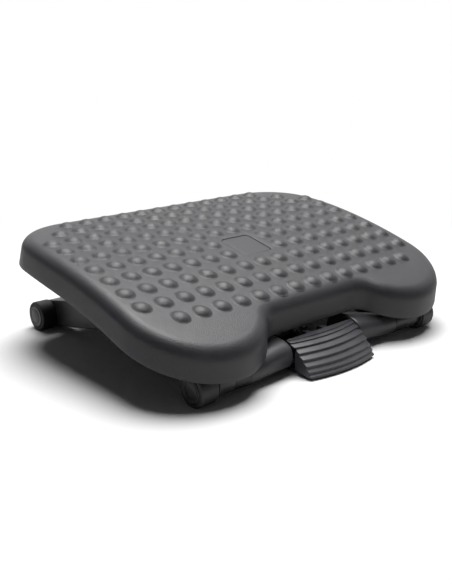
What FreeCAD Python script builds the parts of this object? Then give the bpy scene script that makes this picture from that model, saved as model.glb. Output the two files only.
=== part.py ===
import FreeCAD, Part
import os
from math import asin, atan2, cos, degrees, hypot, pi, radians, sin, sqrt, tan

# Tilting under-desk footrest. Millimetres, +Z up, +X along the deck, +Y to the rear.
# The origin is on the floor, under the middle of the whole footrest.

# Legs: two pairs of equal arms that meet at an axle under the deck
bar_height = 17.0
leg_reach = 144.5
axle_height = 47.0
fold_range = 17.0
leg_slope = degrees(atan2(axle_height - bar_height, leg_reach))

# Deck, in its own frame: origin at the top of its arch, in the middle of the dome pattern
deck_width = 448.0
deck_front_over = 37.5
deck_rear_over = 5.5
deck_over_feet = 36.01
arch_radius = 752.0
skirt_depth = 32.0
skirt_draft = 3.5
draft_start = 51.2
deck_wall = 3.0
deck_edge_radius = 12.5
notch_half_width = 60.0
notch_depth = 38.0
notch_radius = 25.0
front_corner_radius = 84.0
rear_corner_radius = 78.0
side_bow_radius = 450.0
side_bow_start = 20.0
tilt_at_rest = 10.7
hinge_ahead = 10.6

# Domes on the deck, and the blank plate in their middle
dome_pitch_x = 26.0
dome_pitch_y = 26.7
dome_base_radius = 9.9
dome_height = 4.3
front_spare = 1
rear_spares = (1, 2)
badge_width = 41.0
badge_depth = 44.0
badge_corner = 5.0
badge_recess = 1.3
badge_thickness = 1.0
badge_gap = 0.5

# Ribs and hinge brackets under the deck
rib_depth = 10.0
rib_wall = 2.4
rib_spacing_x = 52.0
rib_spacing_y = 53.4
bracket_seat = 16.0
flange_thickness = 4.0
flange_length = 72.0
flange_width = 32.0
bracket_plate = 5.0
bracket_screw_spread_y = 52.0
bracket_screw_spread_x = 22.0
boss_radius = 5.0

# Axle and what turns on it
axle_radius = 6.0
running_gap = 0.05
side_gap = 0.3
bush_wall = 1.45
boss_wall = 4.5
deck_boss_room = 12.0
deck_boss_length = 10.0
collar_length = 8.0
washer_thickness = 1.7
stop_pin_radius = 2.5
stop_pin_offset = 19.0
front_ring_room = 6.0
front_ring_length = 18.0
nut_thickness = 5.5
nut_flats = 17.0
axle_chamfer = 1.0
sleeve_wall = 3.0

# Front bar
front_tube_radius = 7.0
front_tube_wall = 1.5
front_bush_wall = 1.5
bar_radius = 13.0
front_hub_lead = 2.0
front_hub_length = 20.0
front_foot_inset = 68.0
front_foot_length = 24.0
foot_radius = 17.0
foot_flat_drop = 0.3
foot_edge = 1.5
foot_wall = 2.0
foot_recess = 1.6
plug_radius = 12.3
plug_thickness = 2.4
plug_gap = 0.2

# Rear bar
rear_tube_radius = 9.0
rear_tube_wall = 1.5
rear_arm_inset = 84.0
rear_arm_width = 17.0
rear_arm_radius = 15.75
rear_arm_wall = 3.0
rear_foot_length = 18.5
rear_foot_gap = 0.5
set_screw_radius = 2.5
set_screw_sunk = 0.5
rear_arm_edge = 1.5
rear_arm_bays = 4

# Front arms
front_arm_plate = 8.0
front_arm_plate_lead = 7.0
front_arm_step = 1.0
cross_tube_radius = 6.0
cross_tube_wall = 1.2
cross_tube_reach = 58.0
collar_over_cover = 2.54

# Height lock: toothed sector on the arms, sliding bolt on the base
sector_radius = 32.0
sector_rim = 7.0
sector_thickness = 6.0
sector_collar_radius = 9.0
height_steps = 3
tooth_depth = 2.2
tooth_gap = 0.2
sector_end = 2.0
sector_web_start = 2.8
sector_web_end = 5.0
bolt_nose_thickness = 2.6
bolt_nose_width = 8.0
bolt_nose_length = 7.0
bolt_half_width = 15.0
bolt_thickness = 5.7
bolt_length = 13.0
bolt_travel = 2.97
bolt_end_room = 2.0
prong_width = 5.5
horn_top = 24.0
horn_length = 4.0
guide_ledge = 9.5
guide_rail = 6.6
guide_cover_thickness = 2.0
guide_wall = 3.0
spring_radius = 2.7
spring_wire = 0.8
spring_pocket_radius = 3.6
spring_pocket_depth = 8.0
spring_turns = 6

# Pedal
pedal_width = 100.0
pedal_lip_ahead = 39.0
pedal_pin_ahead = 28.0
pedal_top_behind = 3.0
pedal_bottom = 2.5
pedal_top = 35.0
pedal_steps = 8
pedal_bow = 7.0
pedal_fullness = 1.43
pedal_wall = 2.5
pedal_step_room = 3.0
pedal_travel = 8.0
pedal_travel_room = 1.5
pedal_pin_height = 6.2
pedal_pin_radius = 2.0
pedal_roof = 28.5
tongue_inner = 9.0
tongue_width = 6.5
tongue_thickness = 3.0
tongue_behind = 15.5
tongue_bottom = 18.0
tongue_top = 33.5
tongue_bevel = 2.0
tongue_foot = 4.0

# Base tray and the two housings beside the pedal
tray_thickness = 3.0
tray_half_width = 46.5
tray_wing_short = 7.7
tray_lip_gap = 1.0
tray_wing_behind = 4.5
tray_rear_behind = 37.0
tray_corner = 12.0
tray_tail_margin = 4.0
tray_tail_start = 6.0
slot_margin = 1.0
slot_ahead = 4.0
slot_behind = 2.0
lug_thickness = 5.0
lug_place = 27.0
lug_radius = 3.5
lug_clearance = 0.6
housing_inner = 52.0
housing_wall = 2.6
hump_centre_behind = 15.0
hump_half_depth = 25.0
hump_top = 36.5
hump_bottom = 3.5
hump_stations = 7
hump_squareness = 2.4
oval_points = 24
housing_hollow_share = 0.72
housing_well_share = 0.6
housing_well_margin = 2.0
housing_well_behind = 4.0
housing_screw_shares = (0.227, 0.5835)
housing_screws_behind = (28.0, 19.0)
screw_radius = 1.4
screw_head_radius = 3.2
screw_head_height = 1.5
screw_length = 10.0
cover_screw_length = 8.0
cover_screw_behind = 6.0
cover_screw_head_radius = 2.8
cover_corner = 2.0

# Places worked out from the sizes above
front_reach = leg_reach + pedal_lip_ahead
rear_reach = leg_reach + foot_radius
axle_y = (front_reach - rear_reach) / 2
front_y = axle_y - leg_reach
rear_y = axle_y + leg_reach
deck_front = leg_reach + deck_front_over
deck_rear = leg_reach + deck_rear_over
deck_at_feet = leg_reach * tan(radians(tilt_at_rest)) + leg_reach ** 2 / (2 * arch_radius)
hinge_drop = bar_height + foot_radius + deck_over_feet + deck_at_feet - axle_height
lobe_spacing = deck_width - 2 * front_corner_radius
dome_room_x = deck_width / 2 - skirt_draft - deck_edge_radius - dome_base_radius
dome_room_y = deck_rear - deck_edge_radius - dome_base_radius
dome_columns = 2 * int(dome_room_x / dome_pitch_x + 0.5)
dome_rows = 2 * int(dome_room_y / dome_pitch_y + 0.5)
corner_places = {0: front_spare, dome_rows - 2: rear_spares[0], dome_rows - 1: rear_spares[1]}
badge_y = -dome_pitch_y
rear_arm_inner = deck_width / 2 - rear_arm_inset
front_ring_inner = rear_arm_inner - front_ring_room - front_ring_length
front_hub_inner = front_ring_inner - front_hub_lead
front_arm_plate_inner = front_hub_inner + front_arm_plate_lead
front_foot_inner = deck_width / 2 - front_foot_inset
deck_boss_inner = front_ring_inner - deck_boss_room - deck_boss_length
tray_top = pedal_bottom + tray_thickness
pedal_lip_end = front_y - pedal_pin_ahead + lug_radius + pedal_wall
tray_front = pedal_lip_end + tray_lip_gap
bush_radius = axle_radius + running_gap + bush_wall
ring_radius = bush_radius + boss_wall
front_bush_radius = front_tube_radius + running_gap + front_bush_wall
front_ring_outer = front_ring_inner + front_ring_length
front_hub_outer = front_hub_inner + front_hub_length
housing_outer = front_hub_inner - side_gap
tray_wing_half_width = housing_outer - tray_wing_short
housing_length = housing_outer - housing_inner
housing_screws_across = [share * housing_length for share in housing_screw_shares]
deck_boss_outer = deck_boss_inner + deck_boss_length
rear_arm_outer = rear_arm_inner + rear_arm_width
rear_foot_inner = rear_arm_outer + rear_foot_gap
axle_half_length = rear_arm_outer + side_gap + washer_thickness + nut_thickness + axle_chamfer
tilt_range = 2 * tilt_at_rest
lobe_x = lobe_spacing / 2

# Points this near are taken as one where the deck's rounded forms meet
blend_tolerance = 0.001

parts = {}


def vector(x, y, z):
    return FreeCAD.Vector(x, y, z)


def rod(radius, x_start, x_end, y, z):
    """Cylinder along X."""
    return Part.makeCylinder(radius, x_end - x_start, vector(x_start, y, z), vector(1, 0, 0))


def post(radius, x, y, z_start, z_end):
    """Cylinder along Z."""
    return Part.makeCylinder(radius, z_end - z_start, vector(x, y, z_start))


def tube(outer, bore, x_start, x_end, y, z):
    """Hollow cylinder along X."""
    return rod(outer, x_start, x_end, y, z).cut(rod(bore, x_start - 1, x_end + 1, y, z))


def block(x_start, x_end, y_start, y_end, z_start, z_end):
    size = (x_end - x_start, y_end - y_start, z_end - z_start)
    return Part.makeBox(*size, vector(x_start, y_start, z_start))


def plate_along_x(points, x_start, x_end):
    """Flat piece whose outline is given as (y, z) points."""
    corners = [vector(x_start, y, z) for y, z in points]
    face = Part.Face(Part.makePolygon(corners + corners[:1]))
    return face.extrude(vector(x_end - x_start, 0, 0))


def link(x_start, x_end, first, first_radius, second, second_radius):
    """Flat arm along X with a round end about each of two (y, z) points and straight sides."""
    span_y = second[0] - first[0]
    span_z = second[1] - first[1]
    span = hypot(span_y, span_z)
    heading = atan2(span_z, span_y)
    lean = asin((first_radius - second_radius) / span)
    points = []
    for side in (1, -1):
        angle = heading + side * (pi / 2 - lean)
        ends = [(first, first_radius), (second, second_radius)]
        for (y, z), radius in ends[::side]:
            points.append((y + radius * cos(angle), z + radius * sin(angle)))
    arm = plate_along_x(points, x_start, x_end)
    rounds = [rod(first_radius, x_start, x_end, *first), rod(second_radius, x_start, x_end, *second)]
    return arm.multiFuse(rounds).removeSplitter()


def mirrored(shape):
    return shape.mirror(vector(0, 0, 0), vector(1, 0, 0))


def both_sides(name, shape):
    """The piece on the right, and its mirror image on the left."""
    parts[name + "_right"] = shape
    parts[name + "_left"] = mirrored(shape)


def pair(shape):
    return Part.makeCompound([shape, mirrored(shape)])


def arch_height(y):
    """Height of the deck's top at y, in the deck's frame."""
    return sqrt(arch_radius ** 2 - y ** 2) - arch_radius


def arc_edge(centre, radius, start, end):
    """Arc in the deck's plane, from one angle to another."""
    points = []
    for angle in (start, (start + end) / 2, end):
        points.append(vector(centre[0] + radius * cos(angle), centre[1] + radius * sin(angle), 0))
    return Part.Arc(*points).toShape()


def deck_outline(inset):
    """The deck's outline seen from above, moved inwards by inset."""
    half = deck_width / 2
    across = lobe_x - notch_half_width
    both_radii = (across ** 2 + notch_depth ** 2) / (2 * notch_depth)
    lobe_radius = both_radii - notch_radius
    notch_line = notch_depth - deck_front
    notch_centre = (notch_half_width, notch_line - notch_radius)
    lobe_centre = (lobe_x, lobe_radius - deck_front)
    corner_centre = (half - front_corner_radius, front_corner_radius - deck_front)
    bow_centre = (half - side_bow_radius, side_bow_start)
    rear_centre_y = deck_rear - rear_corner_radius
    bow_to_rear = side_bow_radius - rear_corner_radius
    rear_centre_x = bow_centre[0] + sqrt(bow_to_rear ** 2 - (rear_centre_y - side_bow_start) ** 2)
    bow_end = atan2(rear_centre_y - side_bow_start, rear_centre_x - bow_centre[0])
    turn = atan2(lobe_centre[1] - notch_centre[1], lobe_centre[0] - notch_centre[0])
    arcs = [
        (notch_centre, notch_radius + inset, pi / 2, turn),
        (lobe_centre, lobe_radius - inset, turn - pi, -pi / 2),
        (corner_centre, front_corner_radius - inset, -pi / 2, 0),
        (bow_centre, side_bow_radius - inset, 0, bow_end),
        ((rear_centre_x, rear_centre_y), rear_corner_radius - inset, bow_end, pi / 2),
    ]
    right = []
    for centre, radius, start, end in arcs:
        edge = arc_edge(centre, radius, start, end)
        if right:
            last = right[-1].Vertexes[-1].Point
            first = edge.Vertexes[0].Point
            if last.distanceToPoint(first) > 1e-6:
                right.append(Part.LineSegment(last, first).toShape())
        right.append(edge)
    left = [edge.mirror(vector(0, 0, 0), vector(1, 0, 0)) for edge in right]
    ends = []
    for edge, vertex in ((right[0], 0), (right[-1], -1)):
        point = edge.Vertexes[vertex].Point
        ends.append(Part.LineSegment(vector(-point.x, point.y, 0), point).toShape())
    return Part.Wire(Part.__sortEdges__([ends[0]] + right + [ends[1]] + left))


def arch_band(top_drop, bottom_drop):
    """Everything between two copies of the arch, lowered by the two drops."""
    reach = 1.25 * deck_front
    half_width = deck_width
    edges = []
    rims = []
    for drop in (top_drop, bottom_drop):
        points = [vector(-half_width, y, arch_height(y) - drop) for y in (-reach, 0, reach)]
        edges.append(Part.Arc(*points).toShape())
        rims.append(points)
    edges.append(Part.LineSegment(rims[0][0], rims[1][0]).toShape())
    edges.append(Part.LineSegment(rims[0][2], rims[1][2]).toShape())
    face = Part.Face(Part.Wire(Part.__sortEdges__(edges)))
    return face.extrude(vector(2 * half_width, 0, 0))


def deck_form(inset, top_drop, bottom_drop, edge_radius):
    """Solid with the deck's outline, arched top and rounded top edge."""
    draft_per_mm = skirt_draft / skirt_depth
    wires = []
    for level in (-2.5 * skirt_depth, skirt_depth / 2):
        wire = deck_outline(inset + draft_per_mm * (level + draft_start))
        wire.translate(vector(0, 0, level))
        wires.append(wire)
    body = Part.makeLoft(wires, True, True).common(arch_band(top_drop, bottom_drop))
    body = body.Solids[0]
    edges = []
    for edge in body.Edges:
        points = [edge.valueAt(edge.FirstParameter + part * (edge.LastParameter - edge.FirstParameter))
                  for part in (0.0, 0.5, 1.0)]
        if all(abs(point.z - arch_height(point.y) + top_drop) < 0.01 for point in points):
            edges.append(edge)
    return body.makeFillet(edge_radius, edges)


def dome():
    """One rounded nub, standing on the deck's origin and a little sunk into its wall."""
    ball = (dome_base_radius ** 2 + dome_height ** 2) / (2 * dome_height)
    centre = dome_height - ball
    half_turn = asin(dome_base_radius / ball) / 2
    sunk = deck_wall / 2
    top = vector(0, 0, dome_height)
    side = vector(ball * sin(half_turn), 0, centre + ball * cos(half_turn))
    rim = vector(dome_base_radius, 0, 0)
    corners = [rim, vector(dome_base_radius, 0, -sunk), vector(0, 0, -sunk), top]
    edges = [Part.Arc(top, side, rim).toShape()]
    for start, end in zip(corners, corners[1:]):
        edges.append(Part.LineSegment(start, end).toShape())
    face = Part.Face(Part.Wire(edges))
    return face.revolve(vector(0, 0, 0), vector(0, 0, 1), 360)


def dome_places():
    """Middle of each dome: a lattice without its corner places and the badge's places."""
    places = []
    for row in range(dome_rows):
        y = (row - (dome_rows - 1) / 2) * dome_pitch_y
        spare = corner_places.get(row, 0)
        for column in range(spare, dome_columns - spare):
            x = (column - (dome_columns - 1) / 2) * dome_pitch_x
            beside = abs(x) > badge_width / 2 or abs(y - badge_y) > badge_depth / 2
            if beside:
                places.append((x, y))
    return places


def rounded_block(width, depth, corner, y_centre, z_start, z_end):
    """Block with round upright edges, in the middle of the deck."""
    body = block(-width / 2, width / 2, y_centre - depth / 2, y_centre + depth / 2, z_start, z_end)
    upright = [edge for edge in body.Edges if abs(edge.tangentAt(0).z) > 0.99]
    return body.makeFillet(corner, upright)


def badge_floor():
    return arch_height(abs(badge_y) + badge_depth / 2) - badge_recess


def seat_deck(shape):
    """Moves a piece from the deck's frame onto the axle, tilted as the deck rests."""
    shape.translate(vector(0, hinge_ahead, hinge_drop))
    shape.rotate(vector(0, 0, 0), vector(1, 0, 0), tilt_at_rest)
    shape.translate(vector(0, axle_y, axle_height))
    return shape


def bracket_screw_places():
    middle = deck_boss_inner + deck_boss_length / 2
    places = []
    for x_side in (-1, 1):
        for y_side in (-1, 1):
            x = middle + x_side * bracket_screw_spread_x / 2
            y = -hinge_ahead + y_side * bracket_screw_spread_y / 2
            places.append((x, y))
    return places


def deck_ribs():
    """Stiffening ribs under the deck's top."""
    band = deck_form(deck_wall / 2, deck_wall / 2, deck_wall + rib_depth, deck_edge_radius - deck_wall / 2)
    bars = []
    half = rib_wall / 2
    low = -4 * skirt_depth
    x = rib_spacing_x / 2
    while x < deck_width / 2 - deck_edge_radius:
        for side in (-1, 1):
            bars.append(block(side * x - half, side * x + half, -deck_front, deck_rear, low, skirt_depth))
        x += rib_spacing_x
    y = rib_spacing_y / 2
    while y < deck_rear - deck_edge_radius:
        for side in (-1, 1):
            bars.append(block(-deck_width / 2, deck_width / 2, side * y - half, side * y + half,
                              low, skirt_depth))
        y += rib_spacing_y
    return bars[0].multiFuse(bars[1:]).common(band)


def deck_shell():
    shell = deck_form(0, 0, skirt_depth, deck_edge_radius)
    hollow = deck_form(deck_wall, deck_wall, 2 * skirt_depth, deck_edge_radius - deck_wall)
    shell = shell.cut([hollow], blend_tolerance)
    added = [deck_ribs()]
    for x, y in bracket_screw_places():
        boss = post(boss_radius, x, y, -bracket_seat, arch_height(y) - deck_wall / 2)
        added.append(boss)
        added.append(mirrored(boss))
    nub = dome()
    for x, y in dome_places():
        copy = nub.copy()
        copy.rotate(vector(0, 0, 0), vector(1, 0, 0), -degrees(asin(y / arch_radius)))
        copy.translate(vector(x, y, arch_height(y)))
        added.append(copy)
    floor = badge_floor()
    pad_width = badge_width + 2 * deck_wall
    pad_depth = badge_depth + 2 * deck_wall
    pad_corner = badge_corner + deck_wall
    added.append(rounded_block(pad_width, pad_depth, pad_corner, badge_y, floor - deck_wall, floor))
    shell = shell.multiFuse(added, blend_tolerance)
    shell = shell.cut(rounded_block(badge_width, badge_depth, badge_corner, badge_y, floor, dome_height))
    holes = []
    for x, y in bracket_screw_places():
        hole = post(screw_radius, x, y, -bracket_seat - 1, -bracket_seat + screw_length - flange_thickness)
        holes.append(hole)
        holes.append(mirrored(hole))
    return seat_deck(shell.cut(holes))


def badge_plate():
    floor = badge_floor()
    width = badge_width - 2 * badge_gap
    depth = badge_depth - 2 * badge_gap
    corner = badge_corner - badge_gap
    return seat_deck(rounded_block(width, depth, corner, badge_y, floor, floor + badge_thickness))


def deck_bracket():
    """Steel bracket from the deck down to the axle, with the arc slot that limits the tilt."""
    middle = deck_boss_inner + deck_boss_length / 2
    seat = -bracket_seat
    pivot = (-hinge_ahead, -hinge_drop)
    half = flange_length / 2
    low_corner = seat - flange_thickness
    web_foot = stop_pin_offset + 2 * stop_pin_radius
    outline = [(pivot[0] - half, seat), (pivot[0] - half, low_corner), (pivot[0] - web_foot, low_corner)]
    outline += [(pivot[0] - ring_radius, pivot[1]), (pivot[0] + ring_radius, pivot[1])]
    outline += [(pivot[0] + web_foot, low_corner), (pivot[0] + half, low_corner), (pivot[0] + half, seat)]
    plate_start = middle - bracket_plate / 2
    plate_end = middle + bracket_plate / 2
    web = plate_along_x(outline, plate_start, plate_end)
    flange = block(middle - flange_width / 2, middle + flange_width / 2,
                   pivot[0] - half, pivot[0] + half, low_corner, seat)
    ring = rod(ring_radius, deck_boss_inner, deck_boss_outer, *pivot)
    bracket = flange.multiFuse([web, ring]).removeSplitter()
    cuts = [rod(bush_radius, deck_boss_inner - 1, deck_boss_outer + 1, *pivot)]
    reach = stop_pin_radius + side_gap
    slot = tube(stop_pin_offset + reach, stop_pin_offset - reach, plate_start - 1, plate_end + 1, *pivot)
    sector = []
    for side in (-1, 1):
        angle = radians(side * tilt_range / 2)
        y = pivot[0] + stop_pin_offset * sin(angle)
        z = pivot[1] + stop_pin_offset * cos(angle)
        cuts.append(rod(reach, plate_start - 1, plate_end + 1, y, z))
        reach_y = 3 * stop_pin_offset * sin(angle)
        reach_z = 3 * stop_pin_offset * cos(angle)
        sector.append((pivot[0] + reach_y, pivot[1] + reach_z))
    cuts.append(slot.common(plate_along_x([pivot] + sector, plate_start - 1, plate_end + 1)))
    for x, y in bracket_screw_places():
        cuts.append(post(screw_radius, x, y, low_corner - 1, seat + 1))
    return seat_deck(bracket.cut(cuts))


def bracket_screws():
    screws = []
    head = -bracket_seat - flange_thickness
    for x, y in bracket_screw_places():
        screw = post(screw_head_radius, x, y, head - screw_head_height, head)
        screw = screw.fuse(post(screw_radius, x, y, head, head + screw_length)).removeSplitter()
        screws.append(screw)
        screws.append(mirrored(screw))
    return seat_deck(Part.makeCompound(screws))


def axle():
    bar = rod(axle_radius, -axle_half_length, axle_half_length, axle_y, axle_height)
    return bar.makeChamfer(axle_chamfer, [edge for edge in bar.Edges if edge.Closed])


def stop_collar():
    """Clamp collar with the ear that carries the tilt stop pin."""
    outer = deck_boss_inner - side_gap - washer_thickness
    centre = (axle_y, axle_height)
    ear = (axle_y, axle_height + stop_pin_offset)
    collar = link(outer - collar_length, outer, centre, ring_radius, ear, stop_pin_radius + boss_wall)
    collar = collar.cut(rod(axle_radius, 0, outer + 1, *centre))
    return collar.cut(rod(stop_pin_radius, 0, outer + 1, *ear))


def tilt_stop_pin():
    inner = deck_boss_inner - side_gap - washer_thickness - collar_length
    outer = deck_boss_inner + (deck_boss_length + bracket_plate) / 2 + 1
    return rod(stop_pin_radius, inner, outer, axle_y, axle_height + stop_pin_offset)


def axle_ring(radius, x_start, x_end):
    return tube(radius, axle_radius, x_start, x_end, axle_y, axle_height)


def axle_bush(x_start, x_end):
    return tube(bush_radius, axle_radius + running_gap, x_start, x_end, axle_y, axle_height)


def axle_pieces():
    parts["axle"] = axle()
    both_sides("stop_collar", stop_collar())
    parts["tilt_stop_pins"] = pair(tilt_stop_pin())
    friction_end = deck_boss_inner - side_gap
    parts["friction_washers"] = pair(axle_ring(ring_radius, friction_end - washer_thickness, friction_end))
    sleeve_radius = axle_radius + sleeve_wall
    inner_sleeve = axle_ring(sleeve_radius, deck_boss_outer + side_gap, front_ring_inner - side_gap)
    both_sides("inner_spacer", inner_sleeve)
    outer_sleeve = axle_ring(sleeve_radius, front_ring_outer + side_gap, rear_arm_inner - side_gap)
    both_sides("outer_spacer", outer_sleeve)
    washer_start = rear_arm_outer + side_gap
    washer_end = washer_start + washer_thickness
    parts["axle_washers"] = pair(axle_ring(ring_radius - 1, washer_start, washer_end))
    corner = nut_flats / sqrt(3)
    points = []
    for i in range(6):
        angle = radians(60 * i)
        points.append((axle_y + corner * cos(angle), axle_height + corner * sin(angle)))
    nut = plate_along_x(points, washer_end, washer_end + nut_thickness)
    parts["axle_nuts"] = pair(nut.cut(rod(axle_radius, 0, 2 * deck_width, axle_y, axle_height)))


def front_arm():
    """Steel arm from the front bar up to the axle."""
    front = (front_y, bar_height)
    apex = (axle_y, axle_height)
    plate_end = front_arm_plate_inner + front_arm_plate
    arm = link(front_arm_plate_inner, plate_end, front, bar_radius - front_arm_step,
               apex, ring_radius - front_arm_step)
    hub = rod(bar_radius, front_hub_inner, front_hub_outer, *front)
    ring = rod(ring_radius, front_ring_inner, front_ring_outer, *apex)
    arm = arm.multiFuse([hub, ring])
    arm = arm.cut(rod(front_bush_radius, front_hub_inner - 1, front_hub_outer + 1, *front))
    return arm.cut(rod(bush_radius, front_ring_inner - 1, front_ring_outer + 1, *apex))


def along_arm(distance, lift):
    """Point beside the front arm's middle line, measured from the front bar."""
    slope = radians(leg_slope)
    y = front_y + distance * cos(slope) - lift * sin(slope)
    z = bar_height + distance * sin(slope) + lift * cos(slope)
    return (y, z)


def cross_tube_place():
    """(y, z) middle of the cross tube, so high that the sector's collar clears the bolt's cover."""
    height = cover_top() + collar_over_cover + sector_collar_radius
    slope = radians(leg_slope)
    lift = (height - bar_height - cross_tube_reach * sin(slope)) / cos(slope)
    return along_arm(cross_tube_reach, lift)


def cross_tube():
    y, z = cross_tube_place()
    bore = cross_tube_radius - cross_tube_wall
    return tube(cross_tube_radius, bore, -front_arm_plate_inner, front_arm_plate_inner, y, z)


def around_bar(radius, angle):
    """(y, z) point about the front bar, at an angle above the level line to the rear."""
    return (front_y + radius * cos(radians(angle)), bar_height + radius * sin(radians(angle)))


def lock_sector():
    """Toothed plate on the cross tube: one notch for each height."""
    half = sector_thickness / 2
    notch = bolt_nose_thickness + 2 * tooth_gap
    step = fold_range / (height_steps - 1)
    notch_angle = degrees(asin(notch / 2 / sector_radius))
    low_angle = -fold_range - sector_end * notch_angle
    web_angle = sector_web_start * notch_angle
    high_angle = sector_web_end * notch_angle
    rim = tube(sector_radius, sector_radius - sector_rim, -half, half, front_y, bar_height)
    wedge = [around_bar(0, 0)]
    wedge += [around_bar(2 * sector_radius, angle) for angle in (low_angle, high_angle)]
    rim = rim.common(plate_along_x(wedge, -half, half))
    tube_y, tube_z = cross_tube_place()
    slope = radians(leg_slope)
    below = (tube_y + sector_collar_radius * sin(slope), tube_z - sector_collar_radius * cos(slope))
    above = (tube_y - sector_collar_radius * sin(slope), tube_z + sector_collar_radius * cos(slope))
    web = plate_along_x([
        around_bar(sector_radius - sector_rim, high_angle),
        around_bar(sector_radius - sector_rim, web_angle),
        around_bar(sector_radius - tooth_depth / 2, web_angle),
        below,
        above,
    ], -half, half)
    collar = rod(sector_collar_radius, -half, half, tube_y, tube_z)
    sector = rim.multiFuse([web, collar])
    cuts = [rod(cross_tube_radius, -half - 1, half + 1, tube_y, tube_z)]
    for i in range(height_steps):
        rim_y = front_y + sector_radius
        cut = block(-half - 1, half + 1, rim_y - tooth_depth, rim_y + tooth_depth,
                    bar_height - notch / 2, bar_height + notch / 2)
        cut.rotate(vector(0, front_y, bar_height), vector(1, 0, 0), -i * step)
        cuts.append(cut)
    return sector.cut(cuts).removeSplitter()


def front_arm_pieces():
    both_sides("front_arm", front_arm())
    hub_bush = tube(front_bush_radius, front_tube_radius + running_gap,
                    front_hub_inner, front_hub_outer, front_y, bar_height)
    both_sides("front_hub_bush", hub_bush)
    both_sides("front_axle_bush", axle_bush(front_ring_inner, front_ring_outer))
    parts["cross_tube"] = cross_tube()
    parts["lock_sector"] = lock_sector()


def rear_arm():
    """Moulded arm from the rear bar up to the axle, open on its inner side."""
    rear = (rear_y, bar_height)
    apex = (axle_y, axle_height)
    arm = link(rear_arm_inner, rear_arm_outer, rear, rear_arm_radius, apex, rear_arm_radius)
    edges = []
    for edge in arm.Edges:
        if abs(edge.CenterOfMass.x - rear_arm_outer) < 0.01:
            edges.append(edge)
    arm = arm.makeFillet(rear_arm_edge, edges)
    pocket_end = rear_arm_outer - rear_arm_wall
    inside = rear_arm_radius - rear_arm_wall
    pocket = link(rear_arm_inner - 1, pocket_end, rear, inside, apex, inside)
    kept = [rod(rear_tube_radius + rear_arm_wall, rear_arm_inner, rear_arm_outer, *rear)]
    kept.append(rod(bush_radius + rear_arm_wall, rear_arm_inner, rear_arm_outer, *apex))
    span_y = apex[0] - rear[0]
    span_z = apex[1] - rear[1]
    for i in range(1, rear_arm_bays):
        y = rear[0] + span_y * i / rear_arm_bays
        z = rear[1] + span_z * i / rear_arm_bays
        kept.append(block(rear_arm_inner, rear_arm_outer, y - rib_wall / 2, y + rib_wall / 2,
                          z - rear_arm_radius, z + rear_arm_radius))
    arm = arm.cut(pocket.cut(kept))
    arm = arm.cut(rod(rear_tube_radius, rear_arm_inner - 1, rear_arm_outer + 1, *rear))
    arm = arm.cut(rod(bush_radius, rear_arm_inner - 1, rear_arm_outer + 1, *apex))
    return arm.cut(set_screw())


def set_screw():
    x = rear_arm_outer - rear_arm_width / 2
    return post(set_screw_radius, x, rear_y, bar_height + rear_tube_radius - 1,
                bar_height + rear_arm_radius - set_screw_sunk)


def foot_plug(x_start):
    """Disc that closes the end of a rubber foot."""
    disc = rod(plug_radius, x_start, x_start + plug_thickness, 0, bar_height)
    outer = x_start + plug_thickness
    rims = [edge for edge in disc.Edges if edge.Closed and abs(edge.CenterOfMass.x - outer) < 0.01]
    return disc.makeFillet(plug_thickness / 3, rims)


def foot(x_start, x_end, radius, bore, bore_end, y):
    """Rubber foot pushed over the end of a bar."""
    body = rod(radius, x_start, x_end, y, bar_height)
    rims = [edge for edge in body.Edges if edge.Closed]
    body = body.makeFillet(foot_edge, rims)
    body = body.cut(rod(bore, x_start - 1, bore_end, y, bar_height))
    return body.cut(rod(plug_radius + plug_gap, x_end - foot_recess, x_end + 1, y, bar_height))


def rear_pieces():
    both_sides("rear_arm", rear_arm())
    both_sides("rear_axle_bush", axle_bush(rear_arm_inner, rear_arm_outer))
    foot_end = rear_foot_inner + rear_foot_length
    tube_end = foot_end - foot_recess - foot_wall
    bore = rear_tube_radius - rear_tube_wall
    bar = tube(rear_tube_radius, bore, -tube_end, tube_end, rear_y, bar_height)
    parts["rear_tube"] = bar.cut([set_screw(), mirrored(set_screw())])
    both_sides("rear_foot", foot(rear_foot_inner, foot_end, foot_radius, rear_tube_radius, tube_end, rear_y))
    plug = foot_plug(foot_end - foot_recess)
    plug.translate(vector(0, rear_y, 0))
    both_sides("rear_foot_plug", plug)
    parts["rear_set_screws"] = pair(set_screw())


def housing_section(part, inset):
    """Closed oval outline of a housing, from the hump (part 0) to the round bar (part 1)."""
    ease = part * part * (3 - 2 * part)
    end_half = bar_radius
    centre_y = front_y + hump_centre_behind * (1 - ease)
    half_depth = hump_half_depth + (end_half - hump_half_depth) * ease - inset
    centre_z = (hump_top + hump_bottom) / 2
    centre_z += (bar_height - centre_z) * ease
    half_height = (hump_top - hump_bottom) / 2
    half_height += (end_half - half_height) * ease - inset
    x = housing_inner + housing_length * part
    squareness = hump_squareness + (2 - hump_squareness) * ease
    points = []
    for i in range(oval_points):
        angle = 2 * pi * i / oval_points
        across = cos(angle)
        up = sin(angle)
        stretch = (abs(across) ** squareness + abs(up) ** squareness) ** (-1 / squareness)
        y = centre_y + half_depth * across * stretch
        points.append(vector(x, y, centre_z + half_height * up * stretch))
    curve = Part.BSplineCurve()
    curve.interpolate(points, PeriodicFlag=True)
    return Part.Wire(curve.toShape())


def housing_loft(first, last, inset):
    wires = []
    for i in range(hump_stations):
        part = first + (last - first) * i / (hump_stations - 1)
        wires.append(housing_section(part, inset))
    return Part.makeLoft(wires, True, False)


def housing_screw_places():
    places = zip(housing_screws_across, housing_screws_behind)
    return [(housing_inner + across, front_y + behind) for across, behind in places]


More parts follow.
